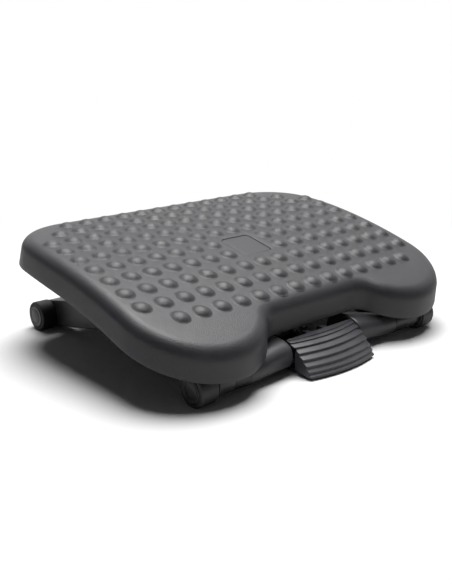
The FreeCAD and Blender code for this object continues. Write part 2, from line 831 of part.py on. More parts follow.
def pedal_housing():
    """Hump beside the pedal that tapers into the front bar."""
    body = housing_loft(0, 1, 0)
    hollow = housing_loft(housing_wall / housing_length, housing_hollow_share, housing_wall)
    screws = []
    bosses = []
    for x, y in housing_screw_places():
        bosses.append(post(boss_radius - 1, x, y, tray_top, hump_top))
        screws.append(post(screw_radius, x, y, tray_top - 1, tray_top + screw_length))
    hollow = hollow.cut(bosses)
    body = body.cut(hollow)
    well_top = hump_bottom + 3 * housing_wall
    well_inner = housing_inner + housing_wall + housing_well_margin
    well_outer = housing_inner + housing_well_share * housing_length
    well_front = front_y + front_tube_radius + 1
    well_rear = front_y + hump_half_depth + housing_well_behind
    well = block(well_inner, well_outer, well_front, well_rear, 0, well_top)
    body = body.cut(well.cut(bosses))
    body = body.cut(block(0, deck_width, front_y + tray_wing_behind, front_y + 4 * bar_radius, 0, tray_top))
    body = body.cut(rod(front_tube_radius, 0, deck_width, front_y, bar_height))
    body = body.cut(screws)
    return max(body.Solids, key=lambda solid: solid.Volume)


def tray_outline():
    right = [
        (tray_half_width, tray_front),
        (tray_half_width, front_y + tray_wing_behind),
        (tray_wing_half_width, front_y + tray_wing_behind),
        (tray_wing_half_width - tray_corner, front_y + hump_centre_behind + hump_half_depth / 2),
        (housing_inner, front_y + hump_centre_behind + hump_half_depth),
        (bolt_half_width + guide_rail + tray_tail_margin, front_y + tray_rear_behind + tray_tail_start),
        (bolt_half_width + guide_rail + tray_tail_margin, guide_rear()),
    ]
    return right + [(-x, y) for x, y in reversed(right)]


def bolt_front():
    """Where the bolt's body starts, behind the toothed sector and the nose."""
    return front_y + sector_radius + side_gap + bolt_nose_length


def guide_rear():
    return bolt_front() + bolt_length + bolt_travel + bolt_end_room + guide_wall


def base_tray():
    """Bottom plate that joins the housings and carries the pedal pin and the lock bolt's guide."""
    corners = [vector(x, y, pedal_bottom) for x, y in tray_outline()]
    tray = Part.Face(Part.makePolygon(corners + corners[:1])).extrude(vector(0, 0, tray_thickness))
    start = bolt_front()
    end = guide_rear()
    bolt_bottom = bar_height - bolt_thickness / 2
    bolt_top = bar_height + bolt_thickness / 2
    rail = bolt_half_width + side_gap
    added = []
    pin_y = front_y - pedal_pin_ahead
    lug_bottom = pedal_pin_height - lug_radius
    for side in (-1, 1):
        inner, outer = sorted((side * guide_ledge, side * (rail + guide_rail)))
        added.append(block(inner, outer, start, end, tray_top, bolt_bottom - side_gap))
        inner, outer = sorted((side * rail, side * (rail + guide_rail)))
        added.append(block(inner, outer, start, end, tray_top, bolt_top + side_gap))
        inner = side * lug_place - lug_thickness / 2
        outer = side * lug_place + lug_thickness / 2
        lug = rod(lug_radius, inner, outer, pin_y, pedal_pin_height)
        added.append(lug)
        added.append(block(inner, outer, pin_y, tray_front + tray_thickness, lug_bottom, pedal_pin_height))
    added.append(block(-rail - guide_rail, rail + guide_rail, end - guide_wall, end,
                       tray_top, bolt_top + side_gap))
    tray = tray.multiFuse(added).removeSplitter()
    cuts = [rod(pedal_pin_radius, -pedal_width, pedal_width, pin_y, pedal_pin_height)]
    slot_half = sector_thickness / 2 + slot_margin
    cuts.append(block(-slot_half, slot_half, front_y + sector_radius - sector_rim - slot_ahead,
                      front_y + sector_radius + slot_behind, 0, tray_top + 1))
    for x, y in housing_screw_places():
        for side in (-1, 1):
            cuts.append(post(screw_radius, side * x, y, 0, tray_top + 1))
            cuts.append(post(screw_head_radius, side * x, y, 0, pedal_bottom + screw_head_height))
    for x, y in cover_screw_places():
        cuts.append(post(screw_radius, x, y, cover_top() - cover_screw_length, cover_top()))
    return tray.cut(cuts)


def cover_screw_places():
    x = bolt_half_width + side_gap + guide_rail / 2
    y = bolt_front() + cover_screw_behind
    return [(-x, y), (x, y)]


def cover_top():
    return bar_height + bolt_thickness / 2 + side_gap + guide_cover_thickness


def guide_cover():
    """Plate that keeps the lock bolt down in its guide."""
    seat = cover_top() - guide_cover_thickness
    half = bolt_half_width + side_gap + guide_rail
    cover = block(-half, half, bolt_front(), guide_rear(), seat, cover_top())
    upright = [edge for edge in cover.Edges if abs(edge.tangentAt(0).z) > 0.99]
    cover = cover.makeFillet(cover_corner, upright)
    return cover.cut([post(screw_radius, x, y, seat - 1, cover_top() + 1) for x, y in cover_screw_places()])


def cover_screws():
    seat = cover_top()
    screws = []
    for x, y in cover_screw_places():
        screw = post(cover_screw_head_radius, x, y, seat, seat + screw_head_height)
        shank = post(screw_radius, x, y, seat - cover_screw_length, seat)
        screws.append(screw.fuse(shank).removeSplitter())
    return Part.makeCompound(screws)


def housing_screws():
    screws = []
    seat = pedal_bottom + screw_head_height
    for x, y in housing_screw_places():
        screw = post(screw_head_radius, x, y, pedal_bottom, seat)
        screw = screw.fuse(post(screw_radius, x, y, seat, seat + screw_length)).removeSplitter()
        screws.append(screw)
        screws.append(mirrored(screw))
    return Part.makeCompound(screws)


def lock_bolt():
    """Sliding bolt: its nose faces the toothed sector, its two prongs reach the pedal's tongues."""
    start = bolt_front()
    bottom = bar_height - bolt_thickness / 2
    top = bar_height + bolt_thickness / 2
    body = block(-bolt_half_width, bolt_half_width, start, start + bolt_length, bottom, top)
    nose_half = bolt_nose_thickness / 2
    nose_front = front_y + sector_radius + side_gap
    added = [block(-bolt_nose_width / 2, bolt_nose_width / 2, nose_front, start,
                   bar_height - nose_half, bar_height + nose_half)]
    prong_front = front_y + tongue_behind + side_gap
    for side in (-1, 1):
        inner, outer = sorted((side * (bolt_half_width - prong_width), side * bolt_half_width))
        added.append(block(inner, outer, prong_front, start, bottom, top))
        added.append(block(inner, outer, prong_front, prong_front + horn_length, bottom, horn_top))
    bolt = body.multiFuse(added).removeSplitter()
    pocket = Part.makeCylinder(spring_pocket_radius, spring_pocket_depth + 1,
                               vector(0, start + bolt_length + 1, bar_height), vector(0, -1, 0))
    relief = block(-spring_pocket_radius, spring_pocket_radius, start + bolt_length - spring_pocket_depth,
                   start + bolt_length + 1, bar_height, top + 1)
    return bolt.cut([pocket, relief])


def lock_spring():
    """Compression spring that pushes the bolt, and through it the pedal, back."""
    start = bolt_front() + bolt_length - spring_pocket_depth
    end = guide_rear() - guide_wall
    length = end - start - spring_wire
    helix = Part.makeHelix(length / spring_turns, length, spring_radius)
    ring = Part.makeCircle(spring_wire / 2, vector(spring_radius, 0, 0), vector(0, 1, 0))
    coil = Part.Wire(helix.Edges).makePipeShell([Part.Wire([ring])], True, True)
    coil.rotate(vector(0, 0, 0), vector(1, 0, 0), -90)
    coil.translate(vector(0, start + spring_wire / 2, bar_height))
    return coil


def pedal_profile(part, inset):
    """(y, z) point on the pedal's convex side profile, from the lip (part 0) to the top (part 1)."""
    rear = front_y + pedal_top_behind
    depth = pedal_lip_ahead + pedal_top_behind - pedal_bow - inset
    height = pedal_top - pedal_bottom - inset
    angle = part * pi / 2
    return (rear - depth * cos(angle) ** pedal_fullness, pedal_bottom + height * sin(angle) ** pedal_fullness)


def pedal_steps_solid():
    """The pedal's stepped top: a stack of slabs, each with its front edge bowed forwards."""
    rear = front_y + pedal_top_behind
    half = pedal_width / 2
    slabs = []
    for i in range(pedal_steps):
        side = pedal_profile((i + min(i, 0.5)) / pedal_steps, 0)[0]
        bottom = pedal_profile(i / pedal_steps, 0)[1]
        top = pedal_profile((i + 1) / pedal_steps, 0)[1]
        points = [vector(-half, side, pedal_bottom), vector(0, side - pedal_bow, pedal_bottom),
                  vector(half, side, pedal_bottom)]
        edges = [Part.Arc(*points).toShape()]
        corners = [points[2], vector(half, rear, pedal_bottom), vector(-half, rear, pedal_bottom), points[0]]
        for first, second in zip(corners, corners[1:]):
            edges.append(Part.LineSegment(first, second).toShape())
        face = Part.Face(Part.Wire(Part.__sortEdges__(edges)))
        slabs.append(face.extrude(vector(0, 0, top - pedal_bottom)))
    return slabs[0].multiFuse(slabs[1:]).removeSplitter()


def pedal_hollow():
    """Space under the pedal's stepped top, between its cheeks and behind its lip."""
    half = pedal_width / 2
    rear = front_y + pedal_top_behind + 1
    slope = [pedal_profile(i / pedal_steps, pedal_wall + pedal_step_room) for i in range(pedal_steps + 1)]
    behind_lip = [(y, min(z, pedal_roof)) for y, z in slope if y > pedal_lip_end]
    lip_height = max(z for y, z in slope if y <= pedal_lip_end)
    points = [(rear, -1), (pedal_lip_end, -1), (pedal_lip_end, lip_height)]
    points += behind_lip + [(rear, pedal_roof)]
    return plate_along_x(points, pedal_wall - half, half - pedal_wall)


def pedal():
    pin_y = front_y - pedal_pin_ahead
    rear = front_y + pedal_top_behind
    half = pedal_width / 2
    back_clear = front_y - front_tube_radius - pedal_wall
    behind = block(-half - 1, half + 1, back_clear, rear + 1, -1, pedal_roof)
    rise = tan(radians(pedal_travel + pedal_travel_room)) * (rear - pin_y)
    under = plate_along_x([(pin_y, -5), (pin_y, pedal_bottom), (rear, pedal_bottom + rise), (rear, -5)],
                          -half - 1, half + 1)
    cuts = [pedal_hollow(), behind, under]
    cuts.append(rod(pedal_pin_radius + running_gap, -half - 1, half + 1, pin_y, pedal_pin_height))
    clear = lug_radius + lug_clearance
    for side in (-1, 1):
        inner = side * lug_place - lug_thickness / 2 - side_gap
        outer = side * lug_place + lug_thickness / 2 + side_gap
        cuts.append(rod(clear, inner, outer, pin_y, pedal_pin_height))
        cuts.append(block(inner, outer, pin_y - clear, pedal_lip_end + 1, -1, pedal_pin_height))
        cuts.append(block(inner, outer, pin_y, pedal_lip_end + 1, -1, pedal_pin_height + clear))
    body = pedal_steps_solid().cut(cuts)
    tongues = []
    back = front_y + tongue_behind
    root = rear - tongue_thickness
    under_top = tongue_top - tongue_foot
    for side in (-1, 1):
        inner, outer = sorted((side * tongue_inner, side * (tongue_inner + tongue_width)))
        tongues.append(plate_along_x([
            (root, under_top), (root, tongue_top), (back - tongue_bevel / 2, tongue_top),
            (back, tongue_top - tongue_bevel),
            (back, tongue_bottom), (back - tongue_thickness, tongue_bottom),
            (back - tongue_thickness, under_top),
        ], inner, outer))
    return body.multiFuse(tongues).removeSplitter()


def base_pieces():
    foot_end = front_foot_inner + front_foot_length
    tube_end = foot_end - foot_recess - foot_wall
    bore = front_tube_radius - front_tube_wall
    parts["front_tube"] = tube(front_tube_radius, bore, -tube_end, tube_end, front_y, bar_height)
    sleeve_start = front_hub_outer + side_gap
    sleeve = tube(bar_radius, front_tube_radius, sleeve_start, front_foot_inner, front_y, bar_height)
    both_sides("front_sleeve", sleeve)
    flat_radius = foot_radius + foot_flat_drop
    rubber = foot(front_foot_inner, foot_end, flat_radius, front_tube_radius, tube_end, front_y)
    ends = 2 * foot_radius
    rubber = rubber.common(block(0, deck_width, front_y - ends, front_y + ends, 0, 2 * ends))
    both_sides("front_foot", rubber)
    plug = foot_plug(foot_end - foot_recess)
    plug.translate(vector(0, front_y, 0))
    both_sides("front_foot_plug", plug)
    both_sides("pedal_housing", pedal_housing())
    parts["base_tray"] = base_tray()
    parts["guide_cover"] = guide_cover()
    parts["guide_cover_screws"] = cover_screws()
    parts["housing_screws"] = housing_screws()
    pin_half = pedal_width / 2 - pedal_wall
    pin_y = front_y - pedal_pin_ahead
    parts["pedal_pin"] = rod(pedal_pin_radius, -pin_half, pin_half, pin_y, pedal_pin_height)
    parts["pedal"] = pedal()
    parts["lock_bolt"] = lock_bolt()
    parts["lock_spring"] = lock_spring()


def deck_pieces():
    parts["deck_shell"] = deck_shell()
    parts["badge_plate"] = badge_plate()
    both_sides("deck_bracket", deck_bracket())
    parts["bracket_screws"] = bracket_screws()
    both_sides("deck_bush", axle_bush(deck_boss_inner, deck_boss_outer))


deck_pieces()
axle_pieces()
front_arm_pieces()
rear_pieces()
base_pieces()

os.makedirs("parts", exist_ok=True)
for name, shape in parts.items():
    shape.exportStep("parts/" + name + ".step")
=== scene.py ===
from math import atan2, cos, hypot, pi, radians, sin, sqrt, tan

import bmesh
import bpy
from mathutils import Matrix, Vector
from mathutils.geometry import delaunay_2d_cdt


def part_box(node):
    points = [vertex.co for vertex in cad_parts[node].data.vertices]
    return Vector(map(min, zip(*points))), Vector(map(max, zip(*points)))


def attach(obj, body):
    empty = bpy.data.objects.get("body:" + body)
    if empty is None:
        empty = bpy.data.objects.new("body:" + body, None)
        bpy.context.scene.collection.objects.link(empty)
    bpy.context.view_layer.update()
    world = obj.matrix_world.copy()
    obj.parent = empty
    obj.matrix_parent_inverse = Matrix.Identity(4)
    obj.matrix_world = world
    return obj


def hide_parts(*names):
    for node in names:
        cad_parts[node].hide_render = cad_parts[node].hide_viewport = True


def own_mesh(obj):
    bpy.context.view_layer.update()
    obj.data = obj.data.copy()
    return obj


# Tilting footrest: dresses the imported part. Sizes are in millimetres until a mesh is made.

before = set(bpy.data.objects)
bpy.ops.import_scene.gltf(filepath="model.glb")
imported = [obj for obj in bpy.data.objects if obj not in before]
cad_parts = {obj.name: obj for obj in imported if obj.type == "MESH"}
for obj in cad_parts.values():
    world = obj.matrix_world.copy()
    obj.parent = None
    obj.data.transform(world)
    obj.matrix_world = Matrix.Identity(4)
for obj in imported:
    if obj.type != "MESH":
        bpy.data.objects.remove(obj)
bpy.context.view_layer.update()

MM = 0.001

# Where the bars and the axle are
AXLE = (11.0, 47.0)
FRONT_BAR = (-133.5, 17.0)
REAR_BAR = (155.5, 17.0)

# Deck, in its own frame: origin at the top of its arch
DECK_WIDTH = 448.0
DECK_FRONT = 182.0
DECK_REAR = 150.0
ARCH_RADIUS = 752.0
SKIRT_DEPTH = 32.0
SKIRT_DRAFT = 3.5
DRAFT_START = 51.2
DECK_WALL = 3.0
EDGE_RADIUS = 12.5
LIP_RADIUS = 1.0
SKIRT_LEVELS = (16.0, 21.0, 26.0)
INNER_LEVELS = (22.0, 16.0)
TOP_PITCH = 11.0
UNDERSIDE_PITCH = 22.0
# The sheets' inner points stay within the outline shrunk by these
WITHIN_X = 0.97
WITHIN_Y = 0.965
NOTCH_HALF_WIDTH = 60.0
NOTCH_DEPTH = 38.0
NOTCH_RADIUS = 25.0
LOBE_X = 140.0
FRONT_CORNER = 84.0
REAR_CORNER = 78.0
SIDE_BOW = 450.0
SIDE_BOW_START = 20.0
TILT = radians(10.7)
HINGE_AHEAD = 10.6
HINGE_DROP = 64.2

# Domes and badge place
DOME_PITCH_X = 26.0
DOME_PITCH_Y = 26.7
DOME_COLUMNS = 16
DOME_ROWS = 10
DOME_RADIUS = 9.9
DOME_HEIGHT = 4.3
DOME_FOOT = 1.0
DOME_BLEND = 0.6
DOME_SUNK = 0.12
DOME_RINGS = 9
DOME_UPPER_RINGS = 7
# Row: domes left out at each end
CORNER_PLACES = {0: 1, DOME_ROWS - 2: 1, DOME_ROWS - 1: 2}
BADGE_WIDTH = 41.0
BADGE_DEPTH = 44.0
BADGE_CORNER = 5.0
BADGE_RECESS = 1.3
BADGE_STEP = 0.45
BADGE_GAP = 0.5
BADGE_RIM = 0.5
BADGE_EDGE = 0.4
BADGE_Y = -DOME_PITCH_Y

# Under the deck
RIB_DEPTH = 10.0
RIB_WALL = 2.4
RIB_END = 6.5
RIB_SPACING_X = 52.0
RIB_SPACING_Y = 53.4
RIB_STEP = 4.0
RIB_SUNK = 0.6
BRACKET_SEAT = 16.0
BRACKET_X = 99.0
BRACKET_SPREAD_X = 22.0
BRACKET_SPREAD_Y = 52.0
FLANGE = 4.0
BOSS_RADIUS = 5.0
BOSS_EDGE = 0.6
PAD_SUNK = 0.2

# Pedal
PEDAL_WIDTH = 100.0
PEDAL_LIP_AHEAD = 39.0
PEDAL_PIN_AHEAD = 28.0
PEDAL_TOP_BEHIND = 3.0
PEDAL_REAR = FRONT_BAR[0] + PEDAL_TOP_BEHIND
PEDAL_BOTTOM = 2.5
PEDAL_TOP = 35.0
PEDAL_STEPS = 8
PEDAL_BOW = 7.0
PEDAL_FULLNESS = 1.43
PEDAL_WALL = 2.5
PEDAL_STEP_ROOM = 3.0
PEDAL_ROOF = 28.5
PEDAL_UNDER_SLOPE = radians(9.5)
PIN_Y = FRONT_BAR[0] - PEDAL_PIN_AHEAD
PIN_HEIGHT = 6.2
LIP_BEHIND_PIN = 3.5
LUG_X = 27.0
LUG_HALF = 2.8
LUG_CLEAR = 4.1
TUBE_RADIUS = 7.0
TUBE_ROOM = 1.0
PEDAL_TRAVEL = radians(8)
STEP_ROUND = 0.7
STEP_SLOPE = 0.5
STEP_UNDERCUT = 0.8
CORNER_SHARE = 0.42
TONGUE_X = (9.0, 15.5)
TONGUE_ROOT = 3.0
TONGUE_BACK = 15.5
TONGUE_TOP = 33.5
TONGUE_UNDER = 29.5
TONGUE_TIP = 18.0
TONGUE_WALL = 3.0
TONGUE_BEVEL = (1.0, 2.0)
TONGUE_ROUND = 0.5

# Front bar
HOUSING_INNER = 52.0
HOUSING_OUTER = 113.7
HUMP_BEHIND = 15.0
HUMP_HALF_DEPTH = 25.0
HUMP_TOP = 36.5
HUMP_BOTTOM = 3.5
HUMP_SQUARENESS = 2.4
HUMP_EDGE = 3.0
HOUSING_END_EDGE = 0.4
BAR_RADIUS = 13.0
SLEEVE = (134.3, 156.0)
SLEEVE_EDGE = 0.5
FRONT_FOOT = (156.0, 180.0)
REAR_FOOT = (157.5, 176.0)
FOOT_RADIUS = 17.0
FOOT_FLAT_DROP = 0.3
FRONT_FOOT_EDGE = 2.6
REAR_FOOT_EDGE = 2.0
FOOT_INNER_EDGE = 1.2
FOOT_SHOULDER = 4.5
FOOT_GROOVE = 1.6
FOOT_GROOVE_DEPTH = 4.0
FOOT_COLLAR_DROP = 1.2
FOOT_RECESS = 1.6
FOOT_BEVEL = 0.4
PLUG_RADIUS = 12.3
PLUG_THICKNESS = 2.4
PLUG_GAP = 0.2
PLUG_EDGE = 0.8
PLUG_RING = ((9.6, 0.0), (9.2, 0.25), (8.8, 0.0))
PLUG_MIDDLE = 1.0

# Screws and lock spring
SCREW = {"Head radius": 3.2, "Head height": 1.5, "Shank radius": 1.4, "Shank length": 10.0}
COVER_SCREW = {"Head radius": 2.8, "Head height": 1.5, "Shank radius": 1.4, "Shank length": 8.0}
HOUSING_SCREW_PLACES = ((14.0, 28.0), (36.0, 19.0))
HOUSING_SCREW_Z = 4.0
COVER_SCREW_PLACE = (18.6, -88.2, 22.15)
HEAD_TAPER = 0.72
CROSS_LENGTH = 1.1
CROSS_WIDTH = 0.24
CROSS_RAISE = 0.9
SPRING_WIRE = 0.8
SPRING_RADIUS = 2.7
SPRING_TURNS = 6
SPRING_STEPS = 16

# How far roughness goes up and down
ROUGH_SPREAD = 0.08

# Camera
CAMERA_PLACE = (-638.33, -693.20, 333.41)
CAMERA_FORWARD = (0.63899, 0.71187, -0.29145)
CAMERA_RIGHT = (0.7442, -0.6680, 0.0)
SENSOR = 36.0
LENS = 52.08

# Light and floor, in metres
WHITE = (1, 1, 1, 1)
LAMP_PLACE = (0.32, 0.28, 2.1)
LAMP_AIM = (0, 0, 0.05)
LAMP_SIZE = 1.8
LAMP_POWER = 72
GLOW_TOWARDS = (0.52, 0.45, 0.72)
GLOW_EDGE = radians(68)
GLOW_CORE = radians(40)
FILL = 0.05
FLOOR_HALF = 6.0
FLOOR_DROP = 0.0002
SHADOW_REACH = (0.30, 0.75)

DECK_SEAT = (Matrix.Translation((0, AXLE[0], AXLE[1])) @ Matrix.Rotation(TILT, 4, "X")
             @ Matrix.Translation((0, HINGE_AHEAD, HINGE_DROP)))


# Meshes

def linked(name, data):
    """Object at the origin that shows a mesh, a lamp or a camera."""
    made = bpy.data.objects.new(name, data)
    bpy.context.scene.collection.objects.link(made)
    return made


def face_outwards(form):
    """Makes the faces of every closed shell agree, and turns round a shell whose volume comes out negative."""
    bmesh.ops.recalc_face_normals(form, faces=form.faces[:])
    left = {face.index: face for face in form.faces}
    inward = []
    while left:
        shell = [left.popitem()[1]]
        for face in shell:
            for edge in face.edges:
                shell += [left.pop(other.index) for other in edge.link_faces if other.index in left]
        volume = 0.0
        for face in shell:
            first, *rest = (vert.co for vert in face.verts)
            volume += sum(first.dot(b.cross(c)) for b, c in zip(rest, rest[1:]))
        if volume < 0:
            inward += shell
    bmesh.ops.reverse_faces(form, faces=inward)


def built(name, points, faces, material, seat=None, crease=35):
    """Piece from points in millimetres and faces, welded, with its normals outwards."""
    mesh = bpy.data.meshes.new(name)
    form = bmesh.new()
    matrix = Matrix.Scale(MM, 4) @ (seat or Matrix.Identity(4))
    verts = [form.verts.new(matrix @ Vector(point)) for point in points]
    for face in faces:
        form.faces.new([verts[i] for i in face])
    bmesh.ops.remove_doubles(form, verts=form.verts[:], dist=0.002 * MM)
    bmesh.ops.dissolve_degenerate(form, edges=form.edges[:], dist=0.001 * MM)
    form.faces.index_update()
    face_outwards(form)
    form.to_mesh(mesh)
    form.free()
    mesh.polygons.foreach_set("use_smooth", [True] * len(mesh.polygons))
    mesh.set_sharp_from_angle(angle=radians(crease))
    mesh.materials.append(material)
    return linked(name, mesh)


def finished(piece, body, slot, *nodes):
    """Puts the piece under its body and hides the imported nodes that it stands for; the slot is not used."""
    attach(piece, body)
    if nodes:
        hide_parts(*nodes)


def strip(first, second):
    """Faces between two closed rows of point numbers."""
    count = len(first)
    return [(first[i], first[(i + 1) % count], second[(i + 1) % count], second[i]) for i in range(count)]


def loft(rows, caps=True):
    """Points and faces of a skin over closed rows with the same number of points."""
    points = [point for row in rows for point in row]
    count = len(rows[0])
    numbers = [range(i * count, (i + 1) * count) for i in range(len(rows))]
    faces = []
    for first, second in zip(numbers, numbers[1:]):
        faces += strip(first, second)
    if caps:
        faces.append(tuple(reversed(numbers[0])))
        faces.append(tuple(numbers[-1]))
    return points, faces


def joined(*shapes):
    """Several (points, faces) shapes as one."""
    points = []
    faces = []
    for more_points, more_faces in shapes:
        start = len(points)
        points += more_points
        faces += [tuple(i + start for i in face) for face in more_faces]
    return points, faces


def turned(profile, y, z, segments=72):
    """Skin of a profile of (x, radius) points turned about a line along X."""
    rows = []
    for x, radius in profile:
        row = []
        for i in range(segments):
            angle = 2 * pi * i / segments
            row.append((x, y + radius * cos(angle), z + radius * sin(angle)))
        rows.append(row)
    return loft(rows)


def mirrored(shape):
    """The same (points, faces) shape on the other side."""
    points, faces = shape
    return [(-x, y, z) for x, y, z in points], [tuple(reversed(face)) for face in faces]


def quarter(radius, steps):
    """How far a rounding has gone in and down at each of its steps."""
    return [(radius * (1 - cos(pi / 2 * i / steps)), radius * (1 - sin(pi / 2 * i / steps)))
            for i in range(steps + 1)]


def soft_corner(edge):
    """Three steps round a small edge, each as how far in and how far down it is."""
    return (0.0, edge), (edge * 0.3, edge * 0.3), (edge, 0.0)


# Deck

def arch_height(y):
    """Height of the deck's top, 0 at the top of its arch."""
    return sqrt(ARCH_RADIUS ** 2 - y ** 2) - ARCH_RADIUS


def outline(inset):
    """The deck's outline from above, the same number of points for every inset."""
    half = DECK_WIDTH / 2
    across = LOBE_X - NOTCH_HALF_WIDTH
    lobe_radius = (across ** 2 + NOTCH_DEPTH ** 2) / (2 * NOTCH_DEPTH) - NOTCH_RADIUS
    notch_line = NOTCH_DEPTH - DECK_FRONT
    notch_centre = (NOTCH_HALF_WIDTH, notch_line - NOTCH_RADIUS)
    lobe_centre = (LOBE_X, lobe_radius - DECK_FRONT)
    bow_centre = (half - SIDE_BOW, SIDE_BOW_START)
    rear_y = DECK_REAR - REAR_CORNER
    rear_x = bow_centre[0] + sqrt((SIDE_BOW - REAR_CORNER) ** 2 - (rear_y - SIDE_BOW_START) ** 2)
    bow_end = atan2(rear_y - SIDE_BOW_START, rear_x - bow_centre[0])
    turn = atan2(lobe_centre[1] - notch_centre[1], lobe_centre[0] - notch_centre[0])
    arcs = [
        (notch_centre, NOTCH_RADIUS + inset, pi / 2, turn, 9),
        (lobe_centre, lobe_radius - inset, turn - pi, -pi / 2, 22),
        ((half - FRONT_CORNER, FRONT_CORNER - DECK_FRONT), FRONT_CORNER - inset, -pi / 2, 0, 26),
        (bow_centre, SIDE_BOW - inset, 0, bow_end, 8),
        ((rear_x, rear_y), REAR_CORNER - inset, bow_end, pi / 2, 24),
    ]
    right = [(NOTCH_HALF_WIDTH * i / 10, notch_line + inset) for i in range(10)]
    for (x, y), radius, start, end, steps in arcs:
        if start == 0:
            side_start = right[-1][1]
            right += [(half - inset, side_start + (y - side_start) * i / 12) for i in range(1, 12)]
        for i in range(steps + 1):
            angle = start + (end - start) * i / steps
            point = (x + radius * cos(angle), y + radius * sin(angle))
            if hypot(point[0] - right[-1][0], point[1] - right[-1][1]) > 1e-6:
                right.append(point)
    corner_x, rear_line = right[-1]
    right += [(corner_x * (1 - i / 18), rear_line) for i in range(1, 19)]
    left = [(-x, y) for x, y in reversed(right[1:-1])]
    return right + left


OUTLINE = outline(0)
INWARDS = [(b[0] - a[0], b[1] - a[1]) for a, b in zip(OUTLINE, outline(1))]


def deck_ring(inset, drop):
    """Ring round the deck, a depth below its arch and moved in from its drafted side."""
    ring = []
    for (x, y), (in_x, in_y) in zip(OUTLINE, INWARDS):
        place_y = y
        # Moving in along the arch changes the height, and with it the draft: this settles at once
        for _ in range(3):
            z = arch_height(place_y) - drop
            shift = inset + SKIRT_DRAFT / SKIRT_DEPTH * (z + DRAFT_START)
            place_y = y + in_y * shift
        ring.append((x + in_x * shift, place_y, arch_height(place_y) - drop))
    return ring


def rounded_rectangle(width, depth, corner, y_centre, steps=6):
    """(x, y) points of a rectangle with round corners, its middle on the deck's centre line."""
    points = []
    for turn, (side_x, side_y) in enumerate(((1, -1), (1, 1), (-1, 1), (-1, -1))):
        for i in range(steps + 1):
            angle = (turn - 1) * pi / 2 + pi / 2 * i / steps
            points.append((side_x * (width / 2 - corner) + corner * cos(angle),
                           y_centre + side_y * (depth / 2 - corner) + corner * sin(angle)))
    return points


def inside(point, ring):
    """True if the point is inside the ring of (x, y) points."""
    x, y = point
    within = False
    for (ax, ay), (bx, by) in zip(ring, ring[1:] + ring[:1]):
        if (ay > y) != (by > y) and x < ax + (bx - ax) * (y - ay) / (by - ay):
            within = not within
    return within


def arch_sheet(ring, drop, pitch, hole=()):
    """Triangles that fill the ring along the arch, around a hole."""
    edge_count = len(ring)
    flat = [(x, y) for x, y, z in ring]
    middle = [(x * WITHIN_X, y * WITHIN_Y) for x, y in flat]
    edges = [(i, (i + 1) % edge_count) for i in range(edge_count)]
    edges += [(edge_count + i, edge_count + (i + 1) % len(hole)) for i in range(len(hole))]
    flat += hole
    room_x = BADGE_WIDTH / 2 + pitch / 3
    room_y = BADGE_DEPTH / 2 + pitch / 3
    y = -DECK_FRONT
    while y < DECK_REAR:
        x = -DECK_WIDTH / 2
        while x < DECK_WIDTH / 2:
            near_hole = hole and abs(x) < room_x and abs(y - BADGE_Y) < room_y
            if inside((x, y), middle) and not near_hole:
                flat.append((x, y))
            x += pitch
        y += pitch
    verts, _, faces, *_ = delaunay_2d_cdt([Vector(p) for p in flat], edges, [], 1, 1e-5)
    kept = []
    for face in faces:
        x = sum(verts[i].x for i in face) / 3
        y = sum(verts[i].y for i in face) / 3
        if not (hole and inside((x, y), hole)):
            kept.append(tuple(face))
    return [(v.x, v.y, arch_height(v.y) - drop) for v in verts], kept


def badge_floor():
    """Height of the flat floor of the badge's recess."""
    return arch_height(abs(BADGE_Y) + BADGE_DEPTH / 2) - BADGE_RECESS


def deck_skin():
    """The moulded deck: top sheet, rounded edge, skirt, lip and the hollow below."""
    rows = []
    for inwards, down in reversed(quarter(EDGE_RADIUS, 10)):
        rows.append(deck_ring(inwards, down))
    for down in (*SKIRT_LEVELS, SKIRT_DEPTH - LIP_RADIUS):
        rows.append(deck_ring(0, down))
    for inwards, down in quarter(LIP_RADIUS, 3)[1:]:
        rows.append(deck_ring(inwards, SKIRT_DEPTH - down))
    for inwards, down in reversed(quarter(LIP_RADIUS, 3)):
        rows.append(deck_ring(DECK_WALL - inwards, SKIRT_DEPTH - down))
    for down in INNER_LEVELS:
        rows.append(deck_ring(DECK_WALL, down))
    for inwards, down in quarter(EDGE_RADIUS - DECK_WALL, 6):
        rows.append(deck_ring(DECK_WALL + inwards, DECK_WALL + down))
    wall = loft(rows, caps=False)
    recess_rows = []
    for outwards, down in reversed(quarter(BADGE_RIM, 3)):
        ring = rounded_rectangle(BADGE_WIDTH + 2 * outwards, BADGE_DEPTH + 2 * outwards,
                                 BADGE_CORNER + outwards, BADGE_Y)
        recess_rows.append([(x, y, arch_height(y) - down) for x, y in ring])
    hole = [(x, y) for x, y, z in recess_rows[0]]
    floor = badge_floor()
    recess_rows.append([(x, y, floor) for x, y, z in recess_rows[-1]])
    recess, recess_faces = loft(recess_rows, caps=False)
    recess_faces.append(tuple(range(len(recess) - len(hole), len(recess))))
    top = arch_sheet(rows[0], 0, TOP_PITCH, hole)
    under = arch_sheet(rows[-1], DECK_WALL, UNDERSIDE_PITCH)
    return joined(wall, top, (recess, recess_faces), under)


def dome_points():
    """Middle of each dome on the flat lattice."""
    places = []
    for row in range(DOME_ROWS):
        y = (row - (DOME_ROWS - 1) / 2) * DOME_PITCH_Y
        spare = CORNER_PLACES.get(row, 0)
        for column in range(spare, DOME_COLUMNS - spare):
            x = (column - (DOME_COLUMNS - 1) / 2) * DOME_PITCH_X
            if abs(x) > BADGE_WIDTH / 2 or abs(y - BADGE_Y) > BADGE_DEPTH / 2:
                places.append((x, y, 0))
    return places


